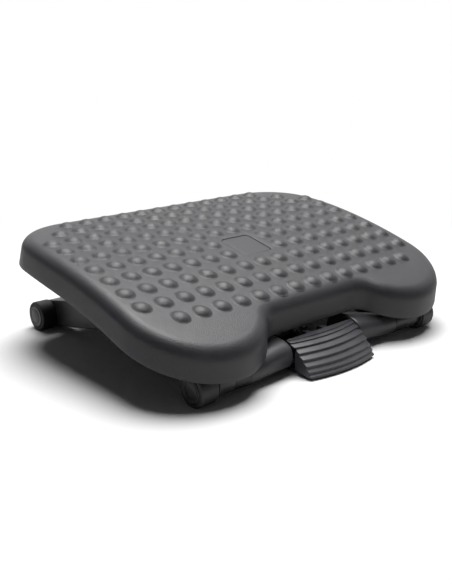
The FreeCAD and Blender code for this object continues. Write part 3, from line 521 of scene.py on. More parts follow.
def boss_places():
    """(x, y) of the screw bosses: four for each bracket."""
    places = []
    for x_side in (-1, 1):
        for y_side in (-1, 1):
            for side in (-1, 1):
                places.append((side * (BRACKET_X + x_side * BRACKET_SPREAD_X / 2),
                               -HINGE_AHEAD + y_side * BRACKET_SPREAD_Y / 2))
    return places


def upright_post(x, y, radius, low, high, segments=32):
    """Round post with a small rounding at its lower end."""
    angles = [2 * pi * i / segments for i in range(segments)]
    rows = []
    for up, inwards in (*soft_corner(BOSS_EDGE), (high - low, 0.0)):
        r = radius - inwards
        rows.append([(x + r * cos(angle), y + r * sin(angle), low + up) for angle in angles])
    return loft(rows)


def badge_form():
    """The blank plate in the badge's place, bent like the deck, with a soft edge."""
    width = BADGE_WIDTH - 2 * BADGE_GAP
    depth = BADGE_DEPTH - 2 * BADGE_GAP
    corner = BADGE_CORNER - BADGE_GAP
    rows = [[(x, y, badge_floor()) for x, y in rounded_rectangle(width, depth, corner, BADGE_Y)]]
    for inwards, down in quarter(BADGE_EDGE, 4):
        ring = rounded_rectangle(width - 2 * inwards, depth - 2 * inwards, corner - inwards, BADGE_Y)
        rows.append([(x, y, arch_height(y) - BADGE_STEP - down) for x, y in ring])
    for share in (0.8, 0.6, 0.4, 0.2):
        ring_in = [(x * share, BADGE_Y + (y - BADGE_Y) * share) for x, y in ring]
        rows.append([(x, y, arch_height(y) - BADGE_STEP) for x, y in ring_in])
    return loft(rows)


# Pedal

def pedal_profile(part, inset):
    """(y, z) point on the pedal's convex side, from the lip (part 0) to the top (part 1)."""
    depth = PEDAL_LIP_AHEAD + PEDAL_TOP_BEHIND - PEDAL_BOW - inset
    height = PEDAL_TOP - PEDAL_BOTTOM - inset
    angle = part * pi / 2
    return (PEDAL_REAR - depth * cos(angle) ** PEDAL_FULLNESS,
            PEDAL_BOTTOM + height * sin(angle) ** PEDAL_FULLNESS)


def softened(points, radius, steps=4):
    """The open line of points with its inner corners rounded."""
    line = [points[0]]
    for before, corner, after in zip(points, points[1:], points[2:]):
        first = Vector(before) - Vector(corner)
        second = Vector(after) - Vector(corner)
        reach = min(radius, CORNER_SHARE * first.length, CORNER_SHARE * second.length)
        start = Vector(corner) + first.normalized() * reach
        end = Vector(corner) + second.normalized() * reach
        for i in range(steps + 1):
            t = i / steps
            point = start * (1 - t) ** 2 + Vector(corner) * 2 * t * (1 - t) + end * t ** 2
            line.append(tuple(point))
    line.append(points[-1])
    return line


def pedal_steps():
    """The line of the pedal's top from its lip to its rear edge: sloping treads with undercut noses."""
    base = PEDAL_BOTTOM
    points = [(pedal_profile(0, 0)[0], base)]
    for i in range(PEDAL_STEPS):
        y = pedal_profile((i + min(i, 0.5)) / PEDAL_STEPS, 0)[0]
        top = pedal_profile((i + 1) / PEDAL_STEPS, 0)[1]
        if i:
            points.append((y + STEP_UNDERCUT, base))
        points.append((y, top - STEP_SLOPE * (top - base)))
        base = top
    points.append((PEDAL_REAR, PEDAL_TOP))
    return softened(points, STEP_ROUND)


def above_tube(y, z):
    """Height of the pedal's ceiling, raised where the bar's tube comes near it when it is pressed."""
    up = FRONT_BAR[1] - PIN_HEIGHT
    tube_y = PIN_Y + PEDAL_PIN_AHEAD * cos(PEDAL_TRAVEL) - up * sin(PEDAL_TRAVEL)
    tube_z = PIN_HEIGHT + PEDAL_PIN_AHEAD * sin(PEDAL_TRAVEL) + up * cos(PEDAL_TRAVEL)
    room = TUBE_RADIUS + TUBE_ROOM
    if abs(y - tube_y) < room:
        z = max(z, tube_z + sqrt(room ** 2 - (y - tube_y) ** 2))
    return min(z, PEDAL_ROOF)


def pedal_shape():
    """The pedal: a stepped skin bowed forwards, hollow behind its lip, with a cheek at each end."""
    lip_end = PIN_Y + LIP_BEHIND_PIN + PEDAL_WALL
    back = FRONT_BAR[0] - TUBE_RADIUS - PEDAL_WALL
    slot_front = PIN_Y - LUG_CLEAR
    slot_top = PIN_HEIGHT + LUG_CLEAR
    under_lip = PEDAL_BOTTOM + (lip_end - PIN_Y) * tan(PEDAL_UNDER_SLOPE)
    under_back = PEDAL_BOTTOM + (back - PIN_Y) * tan(PEDAL_UNDER_SLOPE)
    slope = [pedal_profile(i / 24, PEDAL_WALL + PEDAL_STEP_ROOM) for i in range(24, -1, -1)]
    ceiling = [(y, above_tube(y, z)) for y, z in slope if y > lip_end]
    lip_top = max(z for y, z in slope if y <= lip_end)
    roof = [(PEDAL_REAR, PEDAL_ROOF)]
    hollow = roof + ceiling + [(lip_end, lip_top), (lip_end, slot_top)]
    foot = [(PIN_Y, PEDAL_BOTTOM), (slot_front, PEDAL_BOTTOM)]
    # Sections with equal numbers of points: between the lugs, at a lug, in a cheek
    solid = hollow + [(lip_end, under_lip)] + foot
    slotted = hollow + [(PIN_Y, slot_top), (slot_front, PIN_HEIGHT), (slot_front, PEDAL_BOTTOM)]
    cheek = roof + [(max(y, back), PEDAL_ROOF) for y, z in ceiling]
    cheek += [(back, PEDAL_ROOF), (back, slot_top), (back, under_back)] + foot
    half = PEDAL_WIDTH / 2
    places = [(-half, cheek), (PEDAL_WALL - half, cheek), (PEDAL_WALL - half, solid)]
    stops = [PEDAL_WALL - half]
    for side in (-1, 1):
        stops += [side * LUG_X - LUG_HALF, side * LUG_X + LUG_HALF]
    stops.append(half - PEDAL_WALL)
    for number, (first, last) in enumerate(zip(stops, stops[1:])):
        section = slotted if number % 2 else solid
        if number:
            places.append((first, section))
        count = max(1, round((last - first) / 3))
        places += [(first + (last - first) * i / count, section) for i in range(1, count + 1)]
    places += [(half - PEDAL_WALL, cheek), (half, cheek)]
    steps = pedal_steps()
    rows = []
    for x, section in places:
        bow = PEDAL_BOW * (1 - (x / half) ** 2)
        row = [(x, y - bow * min(1, max(0, PEDAL_REAR - y)), z) for y, z in steps]
        rows.append(row + [(x, y, z) for y, z in section])
    return loft(rows)


def tongue():
    """Hook behind the pedal, on the right of its middle, that pushes the lock bolt."""
    root = PEDAL_REAR - TONGUE_ROOT
    back = FRONT_BAR[0] + TONGUE_BACK
    front = back - TONGUE_WALL
    bevel_y, bevel_z = TONGUE_BEVEL
    side = [(root, TONGUE_UNDER), (root, TONGUE_TOP), (back - bevel_y, TONGUE_TOP),
            (back, TONGUE_TOP - bevel_z), (back, TONGUE_TIP), (front, TONGUE_TIP), (front, TONGUE_UNDER),
            (root, TONGUE_UNDER)]
    side = softened(side, TONGUE_ROUND, 2)[:-1]
    return loft([[(x, y, z) for y, z in side] for x in TONGUE_X])


# Front bar

def housing_ring(part, inset, x, count=56):
    """Oval ring of a housing, from the hump (part 0) to the round bar (part 1)."""
    ease = part * part * (3 - 2 * part)
    centre_y = FRONT_BAR[0] + HUMP_BEHIND * (1 - ease)
    half_depth = HUMP_HALF_DEPTH + (BAR_RADIUS - HUMP_HALF_DEPTH) * ease - inset
    middle = (HUMP_TOP + HUMP_BOTTOM) / 2
    centre_z = middle + (FRONT_BAR[1] - middle) * ease
    half_height = (HUMP_TOP - HUMP_BOTTOM) / 2
    half_height += (BAR_RADIUS - half_height) * ease - inset
    squareness = HUMP_SQUARENESS + (2 - HUMP_SQUARENESS) * ease
    ring = []
    for i in range(count):
        across = cos(2 * pi * i / count)
        up = sin(2 * pi * i / count)
        stretch = (abs(across) ** squareness + abs(up) ** squareness) ** (-1 / squareness)
        ring.append((x, centre_y + half_depth * across * stretch, centre_z + half_height * up * stretch))
    return ring


def housing():
    """The hump beside the pedal, which tapers outwards into the round bar."""
    length = HOUSING_OUTER - HOUSING_INNER
    rows = []
    for along, inset in quarter(HUMP_EDGE, 5):
        x = HOUSING_INNER + along
        rows.append(housing_ring((x - HOUSING_INNER) / length, inset, x))
    for i in range(1, 21):
        x = HOUSING_INNER + HUMP_EDGE + (length - HUMP_EDGE - HOUSING_END_EDGE) * i / 20
        rows.append(housing_ring((x - HOUSING_INNER) / length, 0, x))
    rows.append(housing_ring(1, HOUSING_END_EDGE, HOUSING_OUTER))
    return loft(rows)


def sleeve():
    """The plain cover of the bar between housing and foot."""
    start, end = SLEEVE
    profile = [(start + along, BAR_RADIUS - down) for along, down in soft_corner(SLEEVE_EDGE)]
    profile += [(end - SLEEVE_EDGE, BAR_RADIUS), (end, BAR_RADIUS - SLEEVE_EDGE)]
    return turned(profile, *FRONT_BAR)


def foot_shape(start, end, radius, edge, bar, groove=0.0):
    """Foot with rounded rims, a recess for its plug and, if it has one, a groove at its inner end."""
    profile = [(start, radius - FOOT_SHOULDER)]
    if groove:
        collar = start + groove
        side = radius - FOOT_COLLAR_DROP
        low = radius - FOOT_GROOVE_DEPTH
        profile += [(start, side - FOOT_BEVEL), (start + FOOT_BEVEL, side), (collar - FOOT_BEVEL, side),
                    (collar, side - FOOT_BEVEL), (collar, low), (collar + groove, low)]
        start = collar + groove
    profile += [(start + along, radius - down) for along, down in quarter(FOOT_INNER_EDGE, 4)]
    profile += [(end - along, radius - down) for down, along in quarter(edge, 8)]
    hole = PLUG_RADIUS + PLUG_GAP
    profile += [(end, hole + FOOT_BEVEL), (end - FOOT_BEVEL, hole), (end - FOOT_RECESS, hole)]
    return turned(profile, *bar)


def flat_below(shape):
    """Presses what is under the floor's level up to it, where the foot has its flat."""
    points, faces = shape
    return [(x, y, max(z, 0.0)) for x, y, z in points], faces


def plug_shape(end, bar):
    """Disc in the end of a foot, with a fine ring cut into its face."""
    start = end - FOOT_RECESS
    outer = start + PLUG_THICKNESS
    profile = [(start, PLUG_RADIUS)]
    profile += [(outer - along, PLUG_RADIUS - down) for down, along in quarter(PLUG_EDGE, 4)]
    profile += [(outer - depth, radius) for radius, depth in PLUG_RING]
    profile.append((outer, PLUG_MIDDLE))
    return turned(profile, *bar)


# Node trees

def add(tree, kind, inputs=None, **settings):
    """Adds a node: inputs gives a socket its value, or the output that feeds it."""
    made = tree.nodes.new(kind)
    for name, value in settings.items():
        setattr(made, name, value)
    for key, value in (inputs or {}).items():
        if isinstance(value, bpy.types.NodeSocket):
            tree.links.new(value, made.inputs[key])
        else:
            made.inputs[key].default_value = value
    return made


def growth(name, sizes):
    """An empty geometry tree with named sizes and a material, and its input node."""
    tree = bpy.data.node_groups.new(name, "GeometryNodeTree")
    tree.interface.new_socket("Geometry", in_out="INPUT", socket_type="NodeSocketGeometry")
    for size in sizes:
        tree.interface.new_socket(size, in_out="INPUT", socket_type="NodeSocketFloat")
    tree.interface.new_socket("Material", in_out="INPUT", socket_type="NodeSocketMaterial")
    tree.interface.new_socket("Geometry", in_out="OUTPUT", socket_type="NodeSocketGeometry")
    return tree, add(tree, "NodeGroupInput").outputs


def end_growth(tree, given, geometry):
    """Realizes the instances, sets the material and ends the tree."""
    real = add(tree, "GeometryNodeRealizeInstances", {"Geometry": geometry}).outputs[0]
    painted = add(tree, "GeometryNodeSetMaterial", {"Geometry": real, "Material": given["Material"]})
    add(tree, "NodeGroupOutput", {"Geometry": painted.outputs[0]})


def grown(name, tree, points, edges, sizes, material, seat=None, turn=0.0):
    """Runs the tree on points in millimetres and keeps the result as a plain mesh."""
    base = bpy.data.meshes.new(name)
    base.from_pydata([Vector(point) * MM for point in points], edges, [])
    source = linked(name + "_source", base)
    modifier = source.modifiers.new("growth", "NODES")
    modifier.node_group = tree
    values = {size: value * MM for size, value in sizes.items()}
    values["Material"] = material
    values["Turn"] = turn
    for item in tree.interface.items_tree:
        if item.in_out == "INPUT" and item.name in values:
            modifier[item.identifier] = values[item.name]
    evaluated = source.evaluated_get(bpy.context.evaluated_depsgraph_get())
    mesh = bpy.data.meshes.new_from_object(evaluated)
    bpy.data.objects.remove(source)
    if seat:
        mesh.transform(Matrix.Scale(MM, 4) @ seat @ Matrix.Scale(1 / MM, 4))
    mesh.name = name
    return linked(name, mesh)


def maths(tree, operation, first, second=0.0):
    """Output of a maths node."""
    return add(tree, "ShaderNodeMath", {0: first, 1: second}, operation=operation).outputs[0]


def vector(tree, x=0.0, y=0.0, z=0.0):
    """Output of a node that makes a vector of three numbers."""
    return add(tree, "ShaderNodeCombineXYZ", {0: x, 1: y, 2: z}).outputs[0]


def on_points(tree, given, instance, rotation):
    """Output with an instance on every point of the mesh."""
    points = add(tree, "GeometryNodeMeshToPoints", {"Mesh": given["Geometry"]}).outputs[0]
    sockets = {"Points": points, "Instance": instance, "Rotation": rotation}
    return add(tree, "GeometryNodeInstanceOnPoints", sockets).outputs[0]


def eased(tree, value, start, end, low=0.0, high=1.0):
    """Output that goes softly from low to high while the value goes from start to end."""
    sockets = {"Value": value, "From Min": start, "From Max": end, "To Min": low, "To Max": high}
    return add(tree, "ShaderNodeMapRange", sockets, interpolation_type="SMOOTHSTEP").outputs[0]


def dome_tree():
    """A dome with a rounded foot on every point, standing square to the arch."""
    tree, given = growth("domes on an arch", ("Dome radius", "Dome height", "Foot rounding", "Arch radius"))

    def times(first, second):
        return maths(tree, "MULTIPLY", first, second)

    def minus(first, second):
        return maths(tree, "SUBTRACT", first, second)

    ball = add(tree, "GeometryNodeMeshUVSphere", {"Segments": 24, "Rings": DOME_RINGS, "Radius": 1.0})
    place = add(tree, "GeometryNodeInputPosition").outputs[0]
    split = add(tree, "ShaderNodeSeparateXYZ", {0: place}).outputs
    # The sphere's upper rings spread over the dome, its last ones close it below the deck's surface
    share = maths(tree, "DIVIDE", maths(tree, "ARCCOSINE", split["Z"]), pi)
    upper = DOME_UPPER_RINGS / DOME_RINGS
    rise = maths(tree, "MINIMUM", maths(tree, "DIVIDE", share, upper), 1.0)
    under = maths(tree, "GREATER_THAN", share, upper + 0.02)
    reach = maths(tree, "ADD", given["Dome radius"], given["Foot rounding"])
    spread = times(reach, maths(tree, "SINE", times(rise, pi / 2)))
    close = times(minus(1.0, share), DOME_RINGS / (DOME_RINGS - DOME_UPPER_RINGS))
    radius = times(spread, maths(tree, "MINIMUM", close, 1.0))
    # Height of the ball's cap over that radius
    rim = given["Dome radius"]
    top = given["Dome height"]
    squares = maths(tree, "ADD", times(rim, rim), times(top, top))
    ball_radius = maths(tree, "DIVIDE", squares, times(top, 2.0))
    depth = minus(ball_radius, top)
    cap = maths(tree, "SQRT", minus(times(ball_radius, ball_radius), times(spread, spread)))
    cap = minus(cap, depth)
    # Its foot runs out softly into the deck
    blend = times(given["Foot rounding"], DOME_BLEND)
    blended = maths(tree, "SQRT", maths(tree, "ADD", times(cap, cap), times(blend, blend)))
    height = times(maths(tree, "ADD", cap, blended), 0.5)
    sunk = times(given["Foot rounding"], DOME_SUNK)
    height = minus(height, maths(tree, "ADD", sunk, times(under, sunk)))
    flat = vector(tree, split["X"], split["Y"])
    outwards = add(tree, "ShaderNodeVectorMath", {0: flat}, operation="NORMALIZE").outputs[0]
    ring = add(tree, "ShaderNodeVectorMath", {0: outwards, "Scale": radius}, operation="SCALE").outputs[0]
    spot = add(tree, "ShaderNodeVectorMath", {0: ring, 1: vector(tree, z=height)}, operation="ADD").outputs[0]
    dome = add(tree, "GeometryNodeSetPosition", {"Geometry": ball.outputs["Mesh"], "Position": spot})
    dome = add(tree, "GeometryNodeSetShadeSmooth", {"Geometry": dome.outputs[0]})
    # Each point is lifted onto the arch and its dome leans with it
    arch_square = times(given["Arch radius"], given["Arch radius"])
    lift = maths(tree, "SQRT", minus(arch_square, times(split["Y"], split["Y"])))
    lift = minus(lift, given["Arch radius"])
    lean = times(maths(tree, "ARCSINE", maths(tree, "DIVIDE", split["Y"], given["Arch radius"])), -1.0)
    domes = on_points(tree, given, dome.outputs[0], vector(tree, x=lean))
    raised = add(tree, "GeometryNodeTranslateInstances",
                 {"Instances": domes, "Translation": vector(tree, z=lift), "Local Space": False})
    end_growth(tree, given, raised.outputs[0])
    return tree


def rib_tree():
    """A flat bar swept along every line of the mesh, standing upright."""
    tree, given = growth("ribs along lines", ("Rib wall", "Rib depth"))
    line = add(tree, "GeometryNodeMeshToCurve", {"Mesh": given["Geometry"]})
    upright = add(tree, "GeometryNodeSetCurveNormal", {"Curve": line.outputs[0]}, mode="Z_UP")
    bar = add(tree, "GeometryNodeCurvePrimitiveQuadrilateral", {"Width": given["Rib depth"],
                                                                 "Height": given["Rib wall"]})
    ribs = add(tree, "GeometryNodeCurveToMesh", {"Curve": upright.outputs[0], "Profile Curve": bar.outputs[0],
                                                 "Fill Caps": True})
    end_growth(tree, given, ribs.outputs[0])
    return tree


def screw_tree():
    """A pan-head screw with a cross recess on every point, its head up."""
    tree, given = growth("cross-recess screws", ("Head radius", "Head height", "Shank radius", "Shank length",
                                                 "Turn"))
    radius = given["Head radius"]
    height = given["Head height"]
    top_radius = maths(tree, "MULTIPLY", radius, HEAD_TAPER)
    head = add(tree, "GeometryNodeMeshCone", {"Vertices": 32, "Radius Top": top_radius,
                                              "Radius Bottom": radius, "Depth": height}).outputs["Mesh"]
    long_side = maths(tree, "MULTIPLY", radius, CROSS_LENGTH)
    short_side = maths(tree, "MULTIPLY", radius, CROSS_WIDTH)
    shift = vector(tree, z=maths(tree, "MULTIPLY", height, CROSS_RAISE))
    for x, y in ((long_side, short_side), (short_side, long_side)):
        arm = add(tree, "GeometryNodeMeshCube", {"Size": vector(tree, x, y, height)})
        arm = add(tree, "GeometryNodeTransform", {"Geometry": arm.outputs["Mesh"], "Translation": shift})
        head = add(tree, "GeometryNodeMeshBoolean", {"Mesh 1": head, "Mesh 2": arm.outputs[0]},
                   operation="DIFFERENCE").outputs[0]
    shank = add(tree, "GeometryNodeMeshCylinder", {"Vertices": 20, "Radius": given["Shank radius"],
                                                   "Depth": given["Shank length"]})
    drop = vector(tree, z=maths(tree, "MULTIPLY", given["Shank length"], -0.5))
    shank = add(tree, "GeometryNodeTransform", {"Geometry": shank.outputs["Mesh"], "Translation": drop})
    screw = add(tree, "GeometryNodeJoinGeometry")
    tree.links.new(head, screw.inputs[0])
    tree.links.new(shank.outputs[0], screw.inputs[0])
    end_growth(tree, given, on_points(tree, given, screw.outputs[0], vector(tree, x=given["Turn"])))
    return tree


def coil_tree():
    """A round wire wound along the line of the mesh."""
    tree, given = growth("wire coil", ("Wire",))
    line = add(tree, "GeometryNodeMeshToCurve", {"Mesh": given["Geometry"]})
    radius = maths(tree, "MULTIPLY", given["Wire"], 0.5)
    ring = add(tree, "GeometryNodeCurvePrimitiveCircle", {"Resolution": 10, "Radius": radius})
    wire = add(tree, "GeometryNodeCurveToMesh", {"Curve": line.outputs[0], "Profile Curve": ring.outputs[0],
                                                 "Fill Caps": True})
    wire = add(tree, "GeometryNodeSetShadeSmooth", {"Geometry": wire.outputs[0]})
    end_growth(tree, given, wire.outputs[0])
    return tree


# Materials

def linear(code):
    """sRGB hex value to the linear colour that a shader takes."""
    channels = [int(code[i:i + 2], 16) / 255 for i in (1, 3, 5)]
    return tuple(c / 12.92 if c <= 0.04045 else ((c + 0.055) / 1.055) ** 2.4 for c in channels) + (1.0,)


def new_material(name):
    """A material, its tree, its surface node and the place on the object in metres."""
    material = bpy.data.materials.new(name)
    material.use_nodes = True
    tree = material.node_tree
    return material, tree, tree.nodes["Principled BSDF"], add(tree, "ShaderNodeTexCoord").outputs["Object"]


def mottled(name, dark, light, roughness, patch, grain, relief, metallic=0.0, stretch=(1, 1, 1)):
    """Surface with patchy colour and gloss and a relief of fine grain, sizes in millimetres."""
    material, tree, surface, place = new_material(name)
    place = add(tree, "ShaderNodeMapping", {"Vector": place, "Scale": stretch}).outputs[0]
    # Patches and grain together tint the surface and vary its gloss
    cloud = add(tree, "ShaderNodeTexNoise", {"Vector": place, "Scale": 1 / (patch * MM), "Detail": 4.0,
                                             "Roughness": 0.6}).outputs[0]
    fine = add(tree, "ShaderNodeTexNoise", {"Vector": place, "Scale": 1 / (grain * MM), "Detail": 2.0,
                                            "Roughness": 0.55}).outputs[0]
    both = add(tree, "ShaderNodeMix", {"Factor": 0.5, "A": cloud, "B": fine}, data_type="FLOAT").outputs[0]
    colour = add(tree, "ShaderNodeValToRGB", {0: both})
    colour.color_ramp.elements[0].position = 0.35
    colour.color_ramp.elements[0].color = linear(dark)
    colour.color_ramp.elements[1].position = 0.68
    colour.color_ramp.elements[1].color = linear(light)
    tree.links.new(colour.outputs[0], surface.inputs["Base Color"])
    gloss = add(tree, "ShaderNodeMapRange", {"Value": both, "From Min": 0.35, "From Max": 0.65,
                                             "To Min": roughness - ROUGH_SPREAD,
                                             "To Max": roughness + ROUGH_SPREAD})
    tree.links.new(gloss.outputs[0], surface.inputs["Roughness"])
    bump = add(tree, "ShaderNodeBump", {"Height": fine, "Strength": 1.0, "Distance": relief * MM})
    tree.links.new(bump.outputs[0], surface.inputs["Normal"])
    surface.inputs["Metallic"].default_value = metallic
    return material


def make_materials():
    """One material for each finish of the footrest."""
    made = {}
    # ABS moulded in a spark-eroded tool: even charcoal, satin, with a fine grain that breaks up the
    # highlights; the real grain is about 0.3 mm and is drawn at 1 mm so that it shows
    made["deck_plastic"] = mottled("charcoal ABS, spark-eroded grain", "#262629", "#323236", 0.42, 38, 1.0,
                                   0.34)
    # The same ABS with a finer grain
    made["badge_plastic"] = mottled("charcoal ABS, fine grain", "#29292c", "#323236", 0.43, 30, 0.8, 0.1)
    # Polypropylene, moulded smooth: satin, so that the noses of the steps catch the light
    made["pedal_plastic"] = mottled("charcoal polypropylene, moulded", "#38383c", "#434348", 0.34, 22, 0.8,
                                    0.02)
    # Glass-filled nylon of arms, housings and tray: dull, faintly cloudy from the flow of the fill
    made["frame_plastic"] = mottled("glass-filled nylon, moulded", "#2c2c2f", "#37373b", 0.42, 26, 1.0, 0.06)
    # Thermoplastic rubber of the rear feet: deep black and matt
    made["foot_rubber"] = mottled("thermoplastic rubber, moulded", "#111113", "#19191b", 0.62, 12, 0.8, 0.03)
    # Thermoplastic rubber of the front feet, which the photo shows as grey as the bar
    made["front_rubber"] = mottled("charcoal rubber, moulded", "#27272a", "#303033", 0.5, 14, 0.8, 0.05)
    # Polypropylene plug, turned smooth by its mould: mid grey
    made["plug_plastic"] = mottled("grey polypropylene, moulded", "#29292b", "#303032", 0.42, 14, 0.9, 0.02)
    # Steel with a baked powder coat: black, with a gentle orange peel
    made["black_steel"] = mottled("powder-coated steel", "#161618", "#1f1f22", 0.38, 30, 1.6, 0.05)
    # Zinc-plated steel: bright, with fine drawing lines along the bars
    made["bright_steel"] = mottled("zinc-plated steel, drawn", "#a9adb2", "#c6c9cc", 0.3, 9, 0.7, 0.01,
                                   metallic=1.0, stretch=(0.08, 1, 1))
    # Natural nylon of the bushes: milky, slightly yellow
    made["bush_plastic"] = mottled("natural nylon, turned", "#d2cdbd", "#ddd9cb", 0.4, 8, 0.8, 0.015)
    return made


def floor_material():
    """Pale floor that keeps the shadow near the object and runs out to white for the camera."""
    material, tree, surface, place = new_material("white studio paper")
    distance = add(tree, "ShaderNodeVectorMath", {0: place}, operation="LENGTH").outputs["Value"]
    grain = add(tree, "ShaderNodeTexNoise", {"Vector": place, "Scale": 400.0}).outputs[0]
    tint = add(tree, "ShaderNodeValToRGB", {0: grain})
    tint.color_ramp.elements[0].color = linear("#f4f4f4")
    tint.color_ramp.elements[1].color = linear("#f8f8f8")
    path = add(tree, "ShaderNodeLightPath").outputs
    # Painted shade in reflections: glossy rays see the floor a darker grey than it is, which darkens the
    # footrest's sides; the numbers are the node's colour sockets
    grey = add(tree, "ShaderNodeMix", {0: path["Is Glossy Ray"], 6: tint.outputs[0], 7: linear("#cfcfcf")},
               data_type="RGBA")
    tree.links.new(grey.outputs[2], surface.inputs["Base Color"])
    surface.inputs["Roughness"].default_value = 0.9
    surface.inputs["Specular IOR Level"].default_value = 0.1
    faded = maths(tree, "MULTIPLY", eased(tree, distance, *SHADOW_REACH), path["Is Camera Ray"])
    white = add(tree, "ShaderNodeEmission", {"Color": WHITE, "Strength": 1.0})
    mixed = add(tree, "ShaderNodeMixShader", {0: faded, 1: surface.outputs[0], 2: white.outputs[0]})
    tree.links.new(mixed.outputs[0], tree.nodes["Material Output"].inputs["Surface"])
    return material


# Studio

def make_camera():
    """Camera where the photograph was taken."""
    lens = bpy.data.cameras.new("photo camera")
    lens.sensor_width = SENSOR
    lens.lens = LENS
    lens.clip_start = 0.01
    lens.clip_end = 50.0
    camera = linked("photo camera", lens)
    forward = Vector(CAMERA_FORWARD).normalized()
    right = Vector(CAMERA_RIGHT).normalized()
    up = right.cross(forward)
    turn = Matrix((right, up, -forward)).transposed().to_4x4()
    camera.matrix_world = Matrix.Translation(Vector(CAMERA_PLACE) * MM) @ turn
    bpy.context.scene.camera = camera


def make_lamp():
    """Wide round softbox over the footrest, a little behind it."""
    light = bpy.data.lights.new("softbox overhead", "AREA")
    light.shape = "DISK"
    light.size = LAMP_SIZE
    light.energy = LAMP_POWER
    lamp = linked("softbox overhead", light)
    lamp.location = LAMP_PLACE
    lamp.rotation_euler = (Vector(LAMP_AIM) - Vector(LAMP_PLACE)).to_track_quat("-Z", "Y").to_euler()


def make_world():
    """White for the camera, nearly dark as light, and a glow above the rear for reflections."""
    world = bpy.data.worlds.new("studio")
    world.use_nodes = True
    bpy.context.scene.world = world
    tree = world.node_tree
    path = add(tree, "ShaderNodeLightPath").outputs
    place = add(tree, "ShaderNodeTexCoord").outputs["Generated"]
    centre = Vector(GLOW_TOWARDS).normalized()
    towards = add(tree, "ShaderNodeVectorMath", {0: place, 1: centre}, operation="DOT_PRODUCT")
    glow = eased(tree, towards.outputs["Value"], cos(GLOW_EDGE), cos(GLOW_CORE), FILL)
    room = add(tree, "ShaderNodeBackground", {"Color": WHITE, "Strength": glow}).outputs[0]
    white = add(tree, "ShaderNodeBackground", {"Color": WHITE, "Strength": 1.0}).outputs[0]
    fill = tree.nodes["Background"]
    fill.inputs["Color"].default_value = WHITE
    fill.inputs["Strength"].default_value = FILL
    mirror = add(tree, "ShaderNodeMixShader", {0: path["Is Glossy Ray"], 1: fill.outputs[0], 2: room})
    mixed = add(tree, "ShaderNodeMixShader", {0: path["Is Camera Ray"], 1: mirror.outputs[0], 2: white})
    tree.links.new(mixed.outputs[0], tree.nodes["World Output"].inputs["Surface"])


def make_floor():
    """Plain pale floor, a hair under the feet."""
    half = FLOOR_HALF
    z = -FLOOR_DROP
    mesh = bpy.data.meshes.new("floor")
    mesh.from_pydata([(-half, -half, z), (half, -half, z), (half, half, z), (-half, half, z)], [],
                     [(0, 1, 2, 3)])
    mesh.materials.append(floor_material())
    floor = linked("floor", mesh)


# Pieces

def rib_lines():
    """Lines under the deck's top, along both ways, in the deck's frame."""
    edge = [(x, y) for x, y, z in deck_ring(RIB_END, DECK_WALL)]
    points = []
    edges = []
    lines = []
    x = RIB_SPACING_X / 2
    along = [-DECK_FRONT + RIB_STEP * i for i in range(int((DECK_FRONT + DECK_REAR) / RIB_STEP))]
    while x < DECK_WIDTH / 2 - EDGE_RADIUS:
        lines += [[(side * x, y) for y in along] for side in (-1, 1)]
        x += RIB_SPACING_X
    y = RIB_SPACING_Y / 2
    across = [-DECK_WIDTH / 2 + RIB_STEP * i for i in range(int(DECK_WIDTH / RIB_STEP))]
    while y < DECK_REAR - EDGE_RADIUS:
        lines += [[(x, side * y) for x in across] for side in (-1, 1)]
        y += RIB_SPACING_Y
    for line in lines:
        kept = [point for point in line if inside(point, edge)]
        start = len(points)
        points += [(x, y, arch_height(y) - DECK_WALL + RIB_SUNK - RIB_DEPTH / 2) for x, y in kept]
        edges += [(start + i, start + i + 1) for i in range(len(kept) - 1)]
    return points, edges


def dress_deck(materials):
    """Moulded shell with its domes, ribs and bosses, and the blank badge."""
    plastic = materials["deck_plastic"]
    shell = built("deck_shell_moulded", *deck_skin(), plastic, DECK_SEAT)
    finished(shell, "deck", "deck_plastic", "deck_shell")
    domes = grown("deck_domes", dome_tree(), dome_points(), [],
                  {"Dome radius": DOME_RADIUS, "Dome height": DOME_HEIGHT, "Foot rounding": DOME_FOOT,
                   "Arch radius": ARCH_RADIUS}, plastic, DECK_SEAT)
    finished(domes, "deck", "deck_plastic")
    ribs = grown("deck_ribs", rib_tree(), *rib_lines(), {"Rib wall": RIB_WALL, "Rib depth": RIB_DEPTH},
                 plastic, DECK_SEAT)
    finished(ribs, "deck", "deck_plastic")
    posts = [upright_post(x, y, BOSS_RADIUS, -BRACKET_SEAT, arch_height(y) - DECK_WALL / 2)
             for x, y in boss_places()]
    # Pad behind the badge's recess
    pad = rounded_rectangle(BADGE_WIDTH + 2 * DECK_WALL, BADGE_DEPTH + 2 * DECK_WALL,
                            BADGE_CORNER + DECK_WALL, BADGE_Y)
    floor = badge_floor()
    posts.append(loft([[(x, y, z) for x, y in pad] for z in (floor - DECK_WALL, floor - PAD_SUNK)]))
    bosses = built("deck_bosses", *joined(*posts), plastic, DECK_SEAT)
    finished(bosses, "deck", "deck_plastic")
    plate = built("badge_blank", *badge_form(), materials["badge_plastic"], DECK_SEAT)
    finished(plate, "deck", "badge_plastic", "badge_plate")


def dress_pedal(materials):
    """The stepped pedal with its two tongues."""
    shape = joined(pedal_shape(), tongue(), mirrored(tongue()))
    pedal = built("pedal_stepped", *shape, materials["pedal_plastic"], crease=50)
    finished(pedal, "pedal", "pedal_plastic", "pedal")


def dress_bar(body, pieces):
    """A bar's (name, shape, slot, material) pieces on the right, then their mirror images on the left."""
    for side in ("right", "left"):
        for name, shape, slot, material in pieces:
            form = shape if side == "right" else mirrored(shape)
            piece = built(f"{name}_{side}_moulded", *form, material)
            finished(piece, body, slot, f"{name}_{side}")


